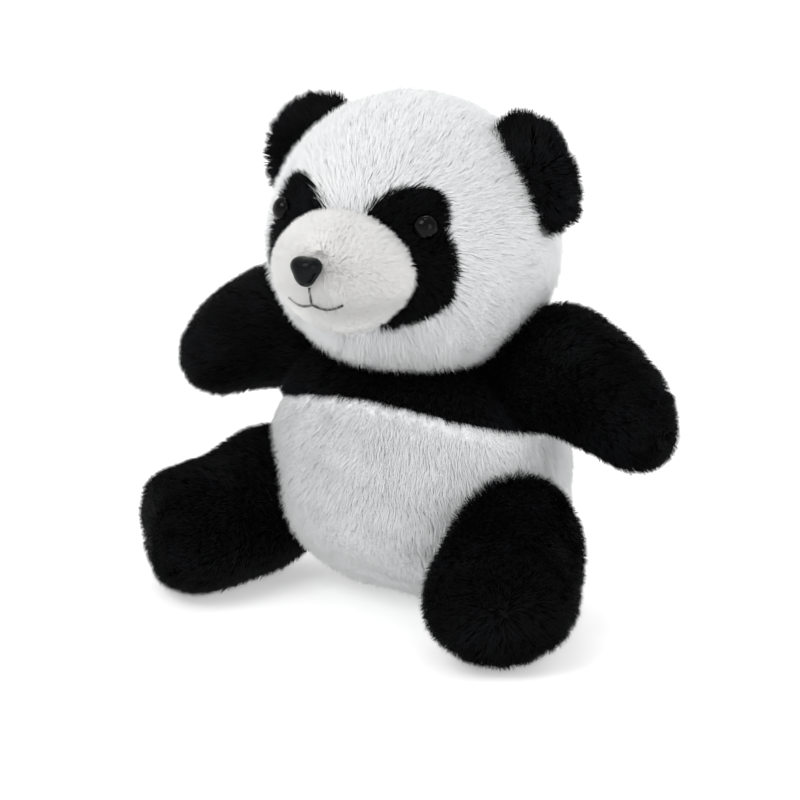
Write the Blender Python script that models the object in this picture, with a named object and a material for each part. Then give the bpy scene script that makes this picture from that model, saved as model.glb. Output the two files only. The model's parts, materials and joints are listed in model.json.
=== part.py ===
"""Sitting plush panda: sewn pile-fabric panels over fibre stuffing, with safety eyes and a safety nose.

Frame: +Z up, the panda faces -Y, its left side is +X. The seat rests on z = 0 and its centre is the origin.
Lengths are in millimetres here and turned into metres where each mesh is made.
"""
import bmesh
import bpy
import numpy as np
from mathutils import Vector

for old_object in list(bpy.data.objects):
    bpy.data.objects.remove(old_object, do_unlink=True)

MM = 0.001

# Cloth and gaps
CLOTH = 3.0            # backing cloth plus the lower half of its pile
SEAM_GAP = 0.4         # between two panels at a seam
FILL_GAP = 0.6         # between a panel and the stuffing behind it

# Torso: superellipse profile, cut flat for the seat
TORSO_WIDTH = 70.0     # half-width at the widest level
TORSO_DEPTH = 54.0     # half-depth there
TORSO_WIDEST_Z = 48.0
TORSO_LOWER = 50.2     # height of the lower half before the flat seat cuts it
TORSO_UPPER = 57.8     # height of the upper half before the neck opening cuts it
TORSO_POWER = 2.15     # squareness of the lower half
SHOULDER_POWER = 3.6   # squareness of the upper half
TORSO_TOP_Z = 105.0
TORSO_LEAN = 0.04      # how far the torso leans back per unit of height
TORSO_FRONT_Y = 8.0    # y of the centre line at the widest level
YOKE_Z = 83.0          # lower edge of the black yoke at the sides and back
YOKE_ARCH = 12.0       # how much higher that edge arches at the front
SIDE_SEAM = 84.0       # degrees from the front centre to the side seam
SEAT_SHARE = 0.975     # the seat panel's size against the hole it fills

# Head: an egg, pitched back a little on the neck
HEAD_CENTRE = np.array([0.0, 2.0, 161.0])
HEAD_WIDTH = 68.0
HEAD_DEPTH = 62.0
HEAD_TOP = 69.0
HEAD_BOTTOM = 56.0
HEAD_PITCH = 2.5       # degrees, face turned up
HEAD_SEAM = 98.0       # degrees from the front, over the top, to the ear-to-ear seam

# Neck
NECK_PIVOT = np.array([0.0, 6.0, 106.0])
NECK_BALL = 22.0

# Muzzle and face, in the head's own axes
MUZZLE_CENTRE = np.array([0.0, -51.0, -4.0])
MUZZLE_RADII = np.array([33.5, 28.0, 26.5])
MUZZLE_CLOTH = 2.5
EYE_DIRECTION = np.array([40.0, -50.0, 19.0])
EYE_RADIUS = 6.0
STEM_RADIUS = 2.0
WASHER_RADIUS = 7.0
NOSE_DIRECTION = np.array([0.0, -1.0, 0.15])
PATCH_LIFT = 0.4
PATCH_THICK = 2.0
THREAD = 0.7

# Arms
SHOULDER = np.array([59.0, 9.0, 98.0])
SHOULDER_BALL = 22.0
SHOULDER_ROOM = 2.2    # between that ball and its socket
ARM_LENGTH = 72.0

# Legs
HIP = np.array([57.0, -18.0, 40.0])
HIP_BALL = 25.5
HIP_ROOM = 1.2         # between that ball and its socket
LEG_LENGTH = 64.0
LEG_SPREAD = 36.0      # degrees from straight ahead

# Ears, in the head's own axes
EAR_CENTRE = np.array([61.0, 7.0, 39.0])
EAR_HALF_LENGTH = 27.0
EAR_HALF_REACH = 18.0
EAR_HALF_THICK = 6.0
EAR_LEAN = 30.0        # degrees the ear's outward direction rises above level

WHITE = (0.86, 0.86, 0.85, 1.0)
CREAM = (0.88, 0.85, 0.80, 1.0)
BLACK = (0.012, 0.012, 0.013, 1.0)
FIBRE = (0.90, 0.90, 0.88, 1.0)
GLOSS = (0.008, 0.008, 0.009, 1.0)
SLATE = (0.03, 0.034, 0.042, 1.0)
WASHER_WHITE = (0.80, 0.80, 0.78, 1.0)
THREAD_BLACK = (0.015, 0.015, 0.015, 1.0)


# ---------------------------------------------------------------- mesh helpers

def new_material(name, colour, roughness):
    """A Principled material of one colour for one sub-part."""
    material = bpy.data.materials.new(name)
    material.use_nodes = True
    shader = material.node_tree.nodes["Principled BSDF"]
    shader.inputs["Base Color"].default_value = colour
    shader.inputs["Roughness"].default_value = roughness
    return material


def add_part(name, points, faces, colour, roughness, origin, smooth=True):
    """Make one object from points in millimetres, with its own origin, welded and facing outward."""
    mesh = bpy.data.meshes.new(name)
    local = (np.asarray(points, dtype=float) - np.asarray(origin, dtype=float)) * MM
    mesh.from_pydata(local.tolist(), [], [list(face) for face in faces])
    work = bmesh.new()
    work.from_mesh(mesh)
    bmesh.ops.remove_doubles(work, verts=work.verts, dist=0.00002)
    bmesh.ops.dissolve_degenerate(work, edges=work.edges, dist=0.00001)
    bmesh.ops.recalc_face_normals(work, faces=work.faces)
    for face in work.faces:
        face.smooth = smooth
    work.to_mesh(mesh)
    work.free()
    part = bpy.data.objects.new(name, mesh)
    part.location = Vector(np.asarray(origin, dtype=float) * MM)
    mesh.materials.append(new_material(name, colour, roughness))
    bpy.context.scene.collection.objects.link(part)
    return part


def add_cutter(name, points, faces):
    """A hidden solid that only cuts others."""
    cutter = add_part(name, points, faces, FIBRE, 0.9, (0.0, 0.0, 0.0))
    cutter.hide_render = True
    cutter.display_type = "WIRE"
    return cutter


def cut(part, *cutters):
    """Take each cutter away from a part."""
    for cutter in cutters:
        modifier = part.modifiers.new("cut_" + cutter.name, "BOOLEAN")
        modifier.operation = "DIFFERENCE"
        modifier.solver = "EXACT"
        modifier.object = cutter


def grid_faces(rows, columns, start, closed, flip=False):
    """Quads over a rows by columns grid of points, joined round the columns when closed."""
    faces = []
    last = columns if closed else columns - 1
    for row in range(rows - 1):
        for column in range(last):
            following = (column + 1) % columns
            a = start + row * columns + column
            b = start + row * columns + following
            quad = [a, b, b + columns, a + columns]
            faces.append(quad[::-1] if flip else quad)
    return faces


def shell(outer, inner, closed, pole_first=False):
    """A closed solid between two grids of points of the same shape (rows, columns, 3)."""
    rows, columns = outer.shape[:2]
    count = rows * columns
    edge_rows = (rows - 1,) if pole_first else (0, rows - 1)
    points = np.concatenate([outer.reshape(-1, 3), inner.reshape(-1, 3)])
    faces = grid_faces(rows, columns, 0, closed)
    faces += grid_faces(rows, columns, count, closed, flip=True)
    last = columns if closed else columns - 1
    for column in range(last):
        following = (column + 1) % columns
        for row in edge_rows:
            a = row * columns + column
            b = row * columns + following
            faces.append([a, b, b + count, a + count])
    if not closed:
        for row in range(rows - 1):
            for column in (0, columns - 1):
                a = row * columns + column
                b = a + columns
                faces.append([a, b, b + count, a + count])
    return points, faces


def solid(surface):
    """A closed solid from a grid whose columns go round and whose end rows are capped."""
    rows, columns = surface.shape[:2]
    points = surface.reshape(-1, 3)
    faces = grid_faces(rows, columns, 0, True)
    faces.append(list(range(columns))[::-1])
    faces.append([(rows - 1) * columns + column for column in range(columns)])
    return points, faces


def span(low, high, count):
    """Evenly spaced angles from low to high, given in degrees and returned in radians."""
    return np.radians(np.linspace(low, high, count))


def around(count):
    """Angles round a full circle without repeating the first."""
    return np.arange(count) * (2.0 * np.pi / count)


def toward(points, centre, factor):
    """Points drawn toward a centre by a factor, which gives the inside face of a panel."""
    return centre + (points - centre) * factor


def tube(path, radius, sides):
    """A closed thread of round section along a path of points."""
    path = np.asarray(path, dtype=float)
    along = np.gradient(path, axis=0)
    along /= np.linalg.norm(along, axis=1)[:, None]
    side = np.cross(along, (0.0, -1.0, 0.3))
    side /= np.linalg.norm(side, axis=1)[:, None]
    other = np.cross(along, side)
    turn = around(sides)
    rings = (path[:, None, :]
             + radius * np.cos(turn)[None, :, None] * side[:, None, :]
             + radius * np.sin(turn)[None, :, None] * other[:, None, :])
    return solid(rings)


def turned(profile, centre, axis, sides):
    """A solid turned about an axis from (radius, distance along the axis) pairs."""
    axis = np.asarray(axis, dtype=float) / np.linalg.norm(axis)
    helper = np.array([0.0, 0.0, 1.0]) if abs(axis[2]) < 0.9 else np.array([1.0, 0.0, 0.0])
    side = np.cross(helper, axis)
    side /= np.linalg.norm(side)
    other = np.cross(axis, side)
    turn = around(sides)
    rings = [centre + axis * distance
             + radius * (np.cos(turn)[:, None] * side + np.sin(turn)[:, None] * other)
             for radius, distance in profile]
    return solid(np.array(rings))


def ball(centre, radius, columns=20, rows=11):
    """A sphere, used for sockets and for the ball of stuffing at a joint."""
    lift = span(-90.0, 90.0, rows)[:, None]
    turn = around(columns)[None, :]
    grid = np.stack([np.cos(lift) * np.cos(turn), np.cos(lift) * np.sin(turn),
                     np.sin(lift) * np.ones_like(turn)], axis=-1)
    return solid(np.asarray(centre) + radius * grid)


def placed(place, shape):
    """A shape (points and faces) with its points moved by a placing function."""
    points, faces = shape
    return place(points), faces


def mirrored(points, side):
    """Points for the panda's left (+1) or right (-1) side."""
    return np.asarray(points, dtype=float) * np.array([side, 1.0, 1.0])


# ---------------------------------------------------------------- torso

TORSO_MIDDLE = np.array([0.0, 4.0, 50.0])
TORSO_SKIN = 1.0 - CLOTH / 56.0
TORSO_FILL = 1.0 - (CLOTH + 3.0 * FILL_GAP) / 56.0


def torso_level(z):
    """The profile parameter, in degrees, at which the torso reaches a height."""
    if z < TORSO_WIDEST_Z:
        return -np.degrees(np.arcsin(((TORSO_WIDEST_Z - z) / TORSO_LOWER) ** (TORSO_POWER / 2.0)))
    return np.degrees(np.arcsin(((z - TORSO_WIDEST_Z) / TORSO_UPPER) ** (SHOULDER_POWER / 2.0)))


def torso_grid(turn, level):
    """Torso surface: rings of width A|cos v|^(2/p) at height H|sin v|^(2/p), leaning back with height.

    turn is a row of angles from the front; level is a column, or a grid with one column for each turn.
    """
    turn = turn[None, :]
    level = level[:, None] if level.ndim == 1 else level
    power = np.where(level < 0.0, TORSO_POWER, SHOULDER_POWER)
    reach = np.abs(np.cos(level)) ** (2.0 / power)
    rise = np.sign(level) * np.abs(np.sin(level)) ** (2.0 / power)
    height = TORSO_WIDEST_Z + rise * np.where(level < 0.0, TORSO_LOWER, TORSO_UPPER)
    x = TORSO_WIDTH * reach * np.sin(turn)
    y = TORSO_FRONT_Y + TORSO_LEAN * (height - TORSO_WIDEST_Z) - TORSO_DEPTH * reach * np.cos(turn)
    return np.stack([x, y, height * np.ones_like(turn)], axis=-1)


def seat_edge(turn):
    """Height of a panel's edge round the flat seat."""
    return 0.0


def yoke_edge(turn):
    """Height of the seam under the yoke: level at the back, arched upward at the front."""
    return YOKE_Z + YOKE_ARCH * max(np.cos(turn), 0.0) ** 2


def neck_edge(turn):
    """Height of the neck opening."""
    return TORSO_TOP_Z


def torso_panel(name, colour, turn_low, turn_high, edge_low, edge_high, columns, rows, shift):
    """One panel of the torso's skin between two edges, moved off its seams by half a seam gap."""
    turn = span(turn_low, turn_high, columns)
    low = np.radians([torso_level(edge_low(t)) for t in turn])
    high = np.radians([torso_level(edge_high(t)) for t in turn])
    level = low + (high - low) * np.linspace(0.0, 1.0, rows)[:, None]
    outer = torso_grid(turn, level)
    inner = toward(outer, TORSO_MIDDLE, TORSO_SKIN)
    points, faces = shell(outer, inner, closed=False)
    points = points + np.asarray(shift) * SEAM_GAP / 2.0
    return add_part(name, points, faces, colour, 0.95, (0.0, 0.0, 0.0))


BACK_START = SIDE_SEAM
BACK_END = 360.0 - SIDE_SEAM
yoke_front = torso_panel("yoke_front", BLACK, -SIDE_SEAM, SIDE_SEAM,
                         yoke_edge, neck_edge, 15, 4, (0, -1, 1))
yoke_back = torso_panel("yoke_back", BLACK, BACK_START, BACK_END,
                        yoke_edge, neck_edge, 15, 4, (0, 1, 1))
belly_panel = torso_panel("belly_panel", WHITE, -SIDE_SEAM, SIDE_SEAM,
                          seat_edge, yoke_edge, 15, 8, (0, -1, 0))
back_panel_left = torso_panel("back_panel_left", WHITE, BACK_START, 180.0,
                              seat_edge, yoke_edge, 8, 8, (1, 1, 0))
back_panel_right = torso_panel("back_panel_right", WHITE, 180.0, BACK_END,
                               seat_edge, yoke_edge, 8, 8, (-1, 1, 0))

seat_ring = torso_grid(around(24), span(torso_level(0.0), torso_level(0.0), 1))[0]
seat_middle = np.array([0.0, seat_ring[:, 1].mean(), 0.0])
seat_outer = np.array([toward(seat_ring, seat_middle, part) for part in (SEAT_SHARE, 0.001)])
seat_inner = toward(seat_outer, TORSO_MIDDLE, TORSO_SKIN)
seat_panel = add_part("seat_panel", *shell(seat_outer, seat_inner, closed=True),
                      WHITE, 0.95, (0.0, 0.0, 0.0), smooth=False)

torso_surface = torso_grid(around(24), span(torso_level(0.0), torso_level(TORSO_TOP_Z), 10))
torso_stuffing = add_part("torso_stuffing", *solid(toward(torso_surface, TORSO_MIDDLE, TORSO_FILL)),
                          FIBRE, 1.0, (0.0, 0.0, 0.0))

# the hand-sewn seam up the middle of the back, closed after the torso was filled
CLOSING_LEVELS = np.radians([torso_level(z) for z in np.linspace(24.0, 70.0, 9)])
closing_path = torso_grid(np.radians([180.0]), CLOSING_LEVELS)[:, 0] + np.array([0.0, THREAD + 0.5, 0.0])
closing_thread = add_part("closing_thread", *tube(closing_path, THREAD, 5), WHITE, 0.8, (0.0, 0.0, 0.0))

# ---------------------------------------------------------------- neck

neck_stuffing = add_part("neck_stuffing", *ball(NECK_PIVOT, NECK_BALL), FIBRE, 1.0, NECK_PIVOT)
neck_socket = add_cutter("neck_socket", *ball(NECK_PIVOT, NECK_BALL + 1.0))
cut(yoke_front, neck_socket)
cut(yoke_back, neck_socket)
cut(torso_stuffing, neck_socket)

# ---------------------------------------------------------------- head

PITCH = np.radians(HEAD_PITCH)
HEAD_TURN = np.array([[1.0, 0.0, 0.0],
                      [0.0, np.cos(PITCH), np.sin(PITCH)],
                      [0.0, -np.sin(PITCH), np.cos(PITCH)]])
HEAD_SKIN = 1.0 - CLOTH / 64.0
HEAD_FILL = 1.0 - (CLOTH + 3.0 * FILL_GAP) / 64.0
HEAD_RADII = np.array([HEAD_WIDTH, HEAD_DEPTH, HEAD_TOP])


def head_place(points):
    """Head axes to world axes: pitch the face up, then lift onto the neck."""
    return np.asarray(points, dtype=float) @ HEAD_TURN.T + HEAD_CENTRE


def head_axis(direction):
    """A direction in head axes turned into world axes."""
    return np.asarray(direction, dtype=float) @ HEAD_TURN.T


def head_from_directions(directions):
    """Head surface: unit directions stretched by the width, the depth and a taller upper half."""
    height = np.where(directions[..., 2:] > 0.0, HEAD_TOP, HEAD_BOTTOM)
    width = np.full_like(height, HEAD_WIDTH)
    depth = np.full_like(height, HEAD_DEPTH)
    return directions * np.concatenate([width, depth, height], axis=-1)


def head_grid(over, across):
    """Head surface with its poles at the two sides: over runs chin to crown, across runs side to side."""
    over = over[None, :]
    across = across[:, None]
    directions = np.stack([np.sin(across) * np.ones_like(over), -np.cos(across) * np.cos(over),
                           np.cos(across) * np.sin(over)], axis=-1)
    return head_from_directions(directions)


def on_head(direction):
    """The point where a direction from the head's centre meets its surface, and the normal there."""
    direction = np.asarray(direction, dtype=float)
    radii = np.array([HEAD_WIDTH, HEAD_DEPTH, HEAD_TOP if direction[2] > 0.0 else HEAD_BOTTOM])
    point = direction / np.linalg.norm(direction / radii)
    normal = point / radii ** 2
    return point, normal / np.linalg.norm(normal)


def head_panel(name, colour, over_low, over_high, across_low, across_high, columns, rows, shift):
    """One panel of the head's skin."""
    outer = head_grid(span(over_low, over_high, columns), span(across_low, across_high, rows))
    points, faces = shell(outer, toward(outer, 0.0, HEAD_SKIN), closed=False)
    points = head_place(points + np.asarray(shift) * SEAM_GAP / 2.0)
    return add_part(name, points, faces, colour, 0.95, NECK_PIVOT)


face_panel = head_panel("face_panel", WHITE, -HEAD_SEAM, HEAD_SEAM, -90.0, 90.0, 15, 13, (0, -1, 0))
head_back_left = head_panel("head_back_left", WHITE, HEAD_SEAM, 360.0 - HEAD_SEAM,
                            0.0, 90.0, 12, 7, (1, 1, 0))
head_back_right = head_panel("head_back_right", WHITE, HEAD_SEAM, 360.0 - HEAD_SEAM,
                             -90.0, 0.0, 12, 7, (-1, 1, 0))


def whole_head(factor):
    """The whole head as one solid, scaled about its centre."""
    lift = span(-90.0, 90.0, 13)[:, None]
    turn = around(24)[None, :]
    directions = np.stack([np.cos(lift) * np.cos(turn), np.cos(lift) * np.sin(turn),
                           np.sin(lift) * np.ones_like(turn)], axis=-1)
    points, faces = solid(head_from_directions(directions) * factor)
    return head_place(points), faces


head_stuffing = add_part("head_stuffing", *whole_head(HEAD_FILL), FIBRE, 1.0, NECK_PIVOT)
cut(face_panel, neck_socket)
cut(head_back_left, neck_socket)
cut(head_back_right, neck_socket)
cut(head_stuffing, neck_socket)

# ---------------------------------------------------------------- muzzle and nose

head_clear = add_cutter("head_clear", *whole_head(1.0 + 1.2 / 62.0))


def muzzle_grid(turn, opening, shrink):
    """Muzzle surface: an ellipsoid with its pole at the front; opening runs from that pole backwards."""
    turn = turn[None, :]
    opening = opening[:, None]
    directions = np.stack([np.sin(opening) * np.cos(turn), -np.cos(opening) * np.ones_like(turn),
                           np.sin(opening) * np.sin(turn)], axis=-1)
    return MUZZLE_CENTRE + directions * (MUZZLE_RADII - shrink)


def on_muzzle(direction, lift):
    """A point above the muzzle's surface in a direction from its centre, and the normal there."""
    direction = np.asarray(direction, dtype=float)
    offset = direction / np.linalg.norm(direction / MUZZLE_RADII)
    normal = offset / MUZZLE_RADII ** 2
    normal /= np.linalg.norm(normal)
    return MUZZLE_CENTRE + offset + normal * lift, normal


muzzle_opening = span(0.0, 104.0, 9)
muzzle_panel = add_part("muzzle_panel",
                        *placed(head_place, shell(muzzle_grid(around(20), muzzle_opening, 0.0),
                                                  muzzle_grid(around(20), muzzle_opening, MUZZLE_CLOTH),
                                                  closed=True, pole_first=True)),
                        CREAM, 0.95, NECK_PIVOT)
muzzle_stuffing = add_part("muzzle_stuffing",
                           *placed(head_place, solid(muzzle_grid(around(20), span(0.0, 180.0, 13),
                                                                 MUZZLE_CLOTH + FILL_GAP))),
                           FIBRE, 1.0, NECK_PIVOT)
muzzle_opening_in_face = add_cutter("muzzle_opening_in_face",
                                    *placed(head_place, solid(muzzle_grid(around(20), span(0.0, 180.0, 13),
                                                                          2.0 * CLOTH))))
cut(muzzle_panel, head_clear)
cut(muzzle_stuffing, head_clear)
cut(face_panel, muzzle_opening_in_face)

nose_point, nose_normal = on_muzzle(NOSE_DIRECTION, 0.0)
NOSE_CAP = [(0.05, 4.2), (3.0, 3.9), (5.2, 2.9), (6.4, 1.4), (6.2, 0.5)]
NOSE_STEM = [(STEM_RADIUS, 0.5), (STEM_RADIUS, -8.0), (0.05, -8.0)]
NOSE_WIDER = 1.14
NOSE_SHORTER = 0.92
nose_points, nose_faces = turned(NOSE_CAP + NOSE_STEM, np.zeros(3), nose_normal, 16)
above = (nose_points @ nose_normal > 0.4)[:, None]
nose_points = np.where(above, nose_points * np.array([NOSE_WIDER, 1.0, NOSE_SHORTER]), nose_points)
nose = add_part("nose", head_place(nose_points + nose_point), nose_faces, SLATE, 0.35, NECK_PIVOT)

NOSE_WASHER_LIFT = -(MUZZLE_CLOTH + 2.9)


def washer_profile(inner, outer, low, high):
    """Radius and distance pairs of a flat ring."""
    return [(inner, low), (outer, low), (outer, high), (inner, high)]


def ring(profile, centre, axis, sides):
    """A turned solid whose profile closes on itself, so it has a hole through it."""
    points, faces = turned(profile, centre, axis, sides)
    faces = faces[:-2]
    last = (len(profile) - 1) * sides
    for column in range(sides):
        following = (column + 1) % sides
        faces.append([last + column, last + following, following, column])
    return points, faces


nose_washer = add_part("nose_washer",
                       *placed(head_place, ring(washer_profile(STEM_RADIUS + 0.3, WASHER_RADIUS,
                                                               NOSE_WASHER_LIFT, NOSE_WASHER_LIFT + 1.2),
                                                nose_point, nose_normal, 16)),
                       WASHER_WHITE, 0.5, NECK_PIVOT)
nose_hole = add_cutter("nose_hole", *placed(head_place, turned([(0.05, 9.0), (STEM_RADIUS + 0.4, 9.0),
                                                                (STEM_RADIUS + 0.4, -8.5), (0.05, -8.5)],
                                                               nose_point, nose_normal, 16)))
nose_pocket = add_cutter("nose_pocket",
                         *placed(head_place, turned([(0.05, 0.0), (WASHER_RADIUS + 0.4, 0.0),
                                                     (WASHER_RADIUS + 0.4, NOSE_WASHER_LIFT - 0.4),
                                                     (0.05, NOSE_WASHER_LIFT - 0.4)],
                                                    nose_point, nose_normal, 16)))
cut(muzzle_panel, nose_hole)
cut(muzzle_stuffing, nose_pocket, nose_hole)

# mouth: a short line down from the nose and a shallow double curve under it
PHILTRUM_STEPS = np.linspace(-0.16, -0.42, 7)
philtrum_path = [on_muzzle((0.0, -1.0, rise), THREAD + 0.3)[0] for rise in PHILTRUM_STEPS]
philtrum_thread = add_part("philtrum_thread", *placed(head_place, tube(philtrum_path, THREAD, 5)),
                           THREAD_BLACK, 0.8, NECK_PIVOT)
MOUTH_STEPS = np.linspace(-0.42, 0.42, 15)
MOUTH_DROP = -0.48 - 0.05 * np.sin(np.pi * abs(MOUTH_STEPS) / 0.42)
mouth_path = [on_muzzle((sideways, -1.0, rise), THREAD + 0.3)[0]
              for sideways, rise in zip(MOUTH_STEPS, MOUTH_DROP)]
mouth_thread = add_part("mouth_thread", *placed(head_place, tube(mouth_path, THREAD, 5)),
                        THREAD_BLACK, 0.8, NECK_PIVOT)

# ---------------------------------------------------------------- eyes and their patches

muzzle_room = solid(muzzle_grid(around(20), span(0.0, 180.0, 13), -0.5))
muzzle_clear = add_cutter("muzzle_clear", *placed(head_place, muzzle_room))
PATCH_CENTRE = np.array([35.0, -50.0, 9.0])
PATCH_HALF_WIDTH = 21.0
PATCH_HALF_HEIGHT = 30.0
PATCH_SLANT = 10.0
EYE_DOME = [(0.05, 9.0), (2.2, 8.6), (4.2, 7.4), (5.5, 5.6), (EYE_RADIUS, 3.6), (5.6, 2.9)]
EYE_STEM = [(STEM_RADIUS, 2.9), (STEM_RADIUS, -7.5), (0.05, -7.5)]
EYE_WASHER_LIFT = -(CLOTH + 2.2)


def patch_grid(side, lift):
    """Eye patch: rings that shrink to a centre, laid on the head's surface and lifted off it."""
    centre, normal = on_head(mirrored(PATCH_CENTRE, side))
    helper = np.array([0.0, 0.0, 1.0])
    sideways = np.cross(helper, normal)
    sideways /= np.linalg.norm(sideways)
    upward = np.cross(normal, sideways)
    slant = np.radians(PATCH_SLANT * side)
    rows = []
    for part in np.linspace(1.0, 0.0, 4):
        row = []
        for turn in around(20):
            low = 1.0 + 0.18 * np.cos(turn + np.pi / 2.0)
            across = part * PATCH_HALF_WIDTH * np.cos(turn) * low
            up = part * PATCH_HALF_HEIGHT * np.sin(turn)
            across, up = (across * np.cos(slant) - up * np.sin(slant),
                          across * np.sin(slant) + up * np.cos(slant))
            point, outward = on_head(centre + sideways * across + upward * up)
            row.append(point + outward * lift)
        rows.append(row)
    return np.array(rows)[::-1]


for side, word in ((1.0, "left"), (-1.0, "right")):
    eye_point, eye_normal = on_head(mirrored(EYE_DIRECTION, side))
    eye_shape = turned(EYE_DOME + EYE_STEM, eye_point, eye_normal, 16)
    eye = add_part("eye_" + word, *placed(head_place, eye_shape), GLOSS, 0.12, NECK_PIVOT)
    washer = add_part("eye_washer_" + word,
                      *placed(head_place, ring(washer_profile(STEM_RADIUS + 0.3, WASHER_RADIUS,
                                                              EYE_WASHER_LIFT, EYE_WASHER_LIFT + 1.2),
                                               eye_point, eye_normal, 16)),
                      WASHER_WHITE, 0.5, NECK_PIVOT)
    hole = add_cutter("eye_hole_" + word,
                      *placed(head_place, turned([(0.05, 9.0), (STEM_RADIUS + 0.4, 9.0),
                                                  (STEM_RADIUS + 0.4, -8.0), (0.05, -8.0)],
                                                 eye_point, eye_normal, 16)))
    pocket = add_cutter("eye_pocket_" + word,
                        *placed(head_place, turned([(0.05, 2.0), (WASHER_RADIUS + 0.4, 2.0),
                                                    (WASHER_RADIUS + 0.4, EYE_WASHER_LIFT - 0.4),
                                                    (0.05, EYE_WASHER_LIFT - 0.4)],
                                                   eye_point, eye_normal, 16)))
    patch = add_part("eye_patch_" + word,
                     *placed(head_place, shell(patch_grid(side, PATCH_LIFT + PATCH_THICK),
                                               patch_grid(side, PATCH_LIFT), closed=True, pole_first=True)),
                     BLACK, 0.95, NECK_PIVOT)
    cut(patch, hole, muzzle_clear)
    cut(face_panel, hole)
    cut(head_stuffing, pocket, hole)

# ---------------------------------------------------------------- ears

EAR_RISE = np.radians(EAR_LEAN)
EAR_OUT = np.array([np.cos(EAR_RISE), 0.0, np.sin(EAR_RISE)])
EAR_ALONG = np.array([-np.sin(EAR_RISE), 0.0, np.cos(EAR_RISE)])
EAR_FORWARD = np.array([0.0, -1.0, 0.0])
EAR_CLEARANCE = 1.0
EAR_CUP = 3.0


def ear_outline(turns):
    """The ear's edge in its own plane: a half-oval outward, and the head's curve, just clear, inward."""
    edge = []
    for turn in turns:
        out = np.sin(turn) * EAR_HALF_REACH
        along = np.cos(turn) * EAR_HALF_LENGTH
        point = EAR_CENTRE + EAR_OUT * out + EAR_ALONG * along
        surface, normal = on_head(point)
        short = EAR_CLEARANCE - np.dot(point - surface, normal)
        if short > 0.0:
            point = point + EAR_OUT * short / np.dot(EAR_OUT, normal)
        edge.append(point)
    return np.array(edge)


def ear_half(forward):
    """Front (+1) or back (-1) half of an ear: a shallow dome on the ear's middle plane, cupped forward."""
    turns = around(22)
    edge = ear_outline(turns)
    middle = EAR_CENTRE + EAR_OUT * 3.0
    rows = []
    for part in np.linspace(1.0, 0.0, 4):
        height = EAR_HALF_THICK * (1.0 - part ** 2) ** 0.7
        rows.append(middle + (edge - middle) * part + EAR_FORWARD * forward * height)
    flat = [middle + (edge - middle) * part for part in np.linspace(1.0, 0.0, 4)]
    outer = np.array(rows)[::-1]
    inner = np.array(flat)[::-1]
    count = outer.shape[0] * outer.shape[1]
    points = np.concatenate([outer.reshape(-1, 3), inner.reshape(-1, 3)])
    faces = grid_faces(4, 22, 0, True) + grid_faces(4, 22, count, True, flip=True)
    points = points + EAR_FORWARD * forward * SEAM_GAP / 2.0
    reach = np.clip((points - EAR_CENTRE) @ EAR_OUT / EAR_HALF_REACH, 0.0, 1.0)
    return points + EAR_FORWARD * (EAR_CUP * reach ** 2)[:, None], faces


EAR_HINGE = EAR_CENTRE - EAR_OUT * 4.0
for side, word in ((1.0, "left"), (-1.0, "right")):
    for forward, face_word in ((1.0, "front"), (-1.0, "back")):
        points, faces = ear_half(forward)
        add_part("ear_" + word + "_" + face_word, head_place(mirrored(points, side)), faces, BLACK, 0.95,
                 head_place(mirrored(EAR_HINGE, side)))

# ---------------------------------------------------------------- arms and legs


def blend_curve(stations, count):
    """Smoothly joined rows of values (first column is the distance along), resampled evenly."""
    stations = np.array(stations, dtype=float)
    distance = stations[:, 0]
    slopes = np.gradient(stations[:, 1:], distance, axis=0)
    samples = np.linspace(distance[0], distance[-1], count)
    index = np.clip(np.searchsorted(distance, samples) - 1, 0, len(distance) - 2)
    width = (distance[index + 1] - distance[index])[:, None]
    part = ((samples - distance[index])[:, None]) / width
    low, high = stations[index, 1:], stations[index + 1, 1:]
    values = low * (1 + 2 * part) * (1 - part) ** 2 + high * part ** 2 * (3 - 2 * part)
    values += slopes[index] * width * part * (1 - part) ** 2
    values -= slopes[index + 1] * width * part ** 2 * (1 - part)
    return np.column_stack([samples, values])


def limb_grid(rings, pivot, outward, sideways, upward, turn, shrink):
    """Limb surface: rings of (distance, half-width, half-height, lift) set along a direction from a pivot."""
    rows = []
    for distance, half_width, half_height, lift in rings:
        centre = pivot + outward * distance + upward * lift
        rows.append(centre + sideways * np.maximum(half_width - shrink, 0.02) * np.cos(turn)[:, None]
                    + upward * np.maximum(half_height - shrink, 0.02) * np.sin(turn)[:, None])
    return np.array(rows)


def ball_rings(radius, low, high, count):
    """Rings of the ball at a limb's root, between two angles measured from its equator."""
    angle = span(low, high, count)
    return [(radius * np.sin(a), radius * np.cos(a), radius * np.cos(a), 0.0) for a in angle]


BALL_SKIN_START = -35.0
BALL_END = 33.0
ARM_SHAPE = [(12.0, 18.4, 18.4, 0.0), (28.0, 22.5, 25.0, 9.0), (44.0, 23.5, 26.0, 6.0),
             (60.0, 20.0, 21.5, -1.0), (68.0, 13.0, 14.5, -4.5), (ARM_LENGTH, 0.02, 0.02, -5.5)]
LEG_SHAPE = [(13.9, 21.4, 21.4, 0.0), (28.0, 26.0, 26.5, -4.5), (44.0, 30.5, 28.0, -11.2),
             (54.0, 31.0, 27.3, -12.3), (LEG_LENGTH - 2.5, 27.5, 24.5, -12.5)]
ARM_OUT = np.array([1.0, -0.06, 0.0])
LEG_ANGLE = np.radians(LEG_SPREAD)
LEG_OUT = np.array([np.sin(LEG_ANGLE), -np.cos(LEG_ANGLE), 0.0])
LEG_ASIDE = np.array([np.cos(LEG_ANGLE), np.sin(LEG_ANGLE), 0.0])
FORWARD = np.array([0.0, -1.0, 0.0])
UP = np.array([0.0, 0.0, 1.0])


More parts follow.
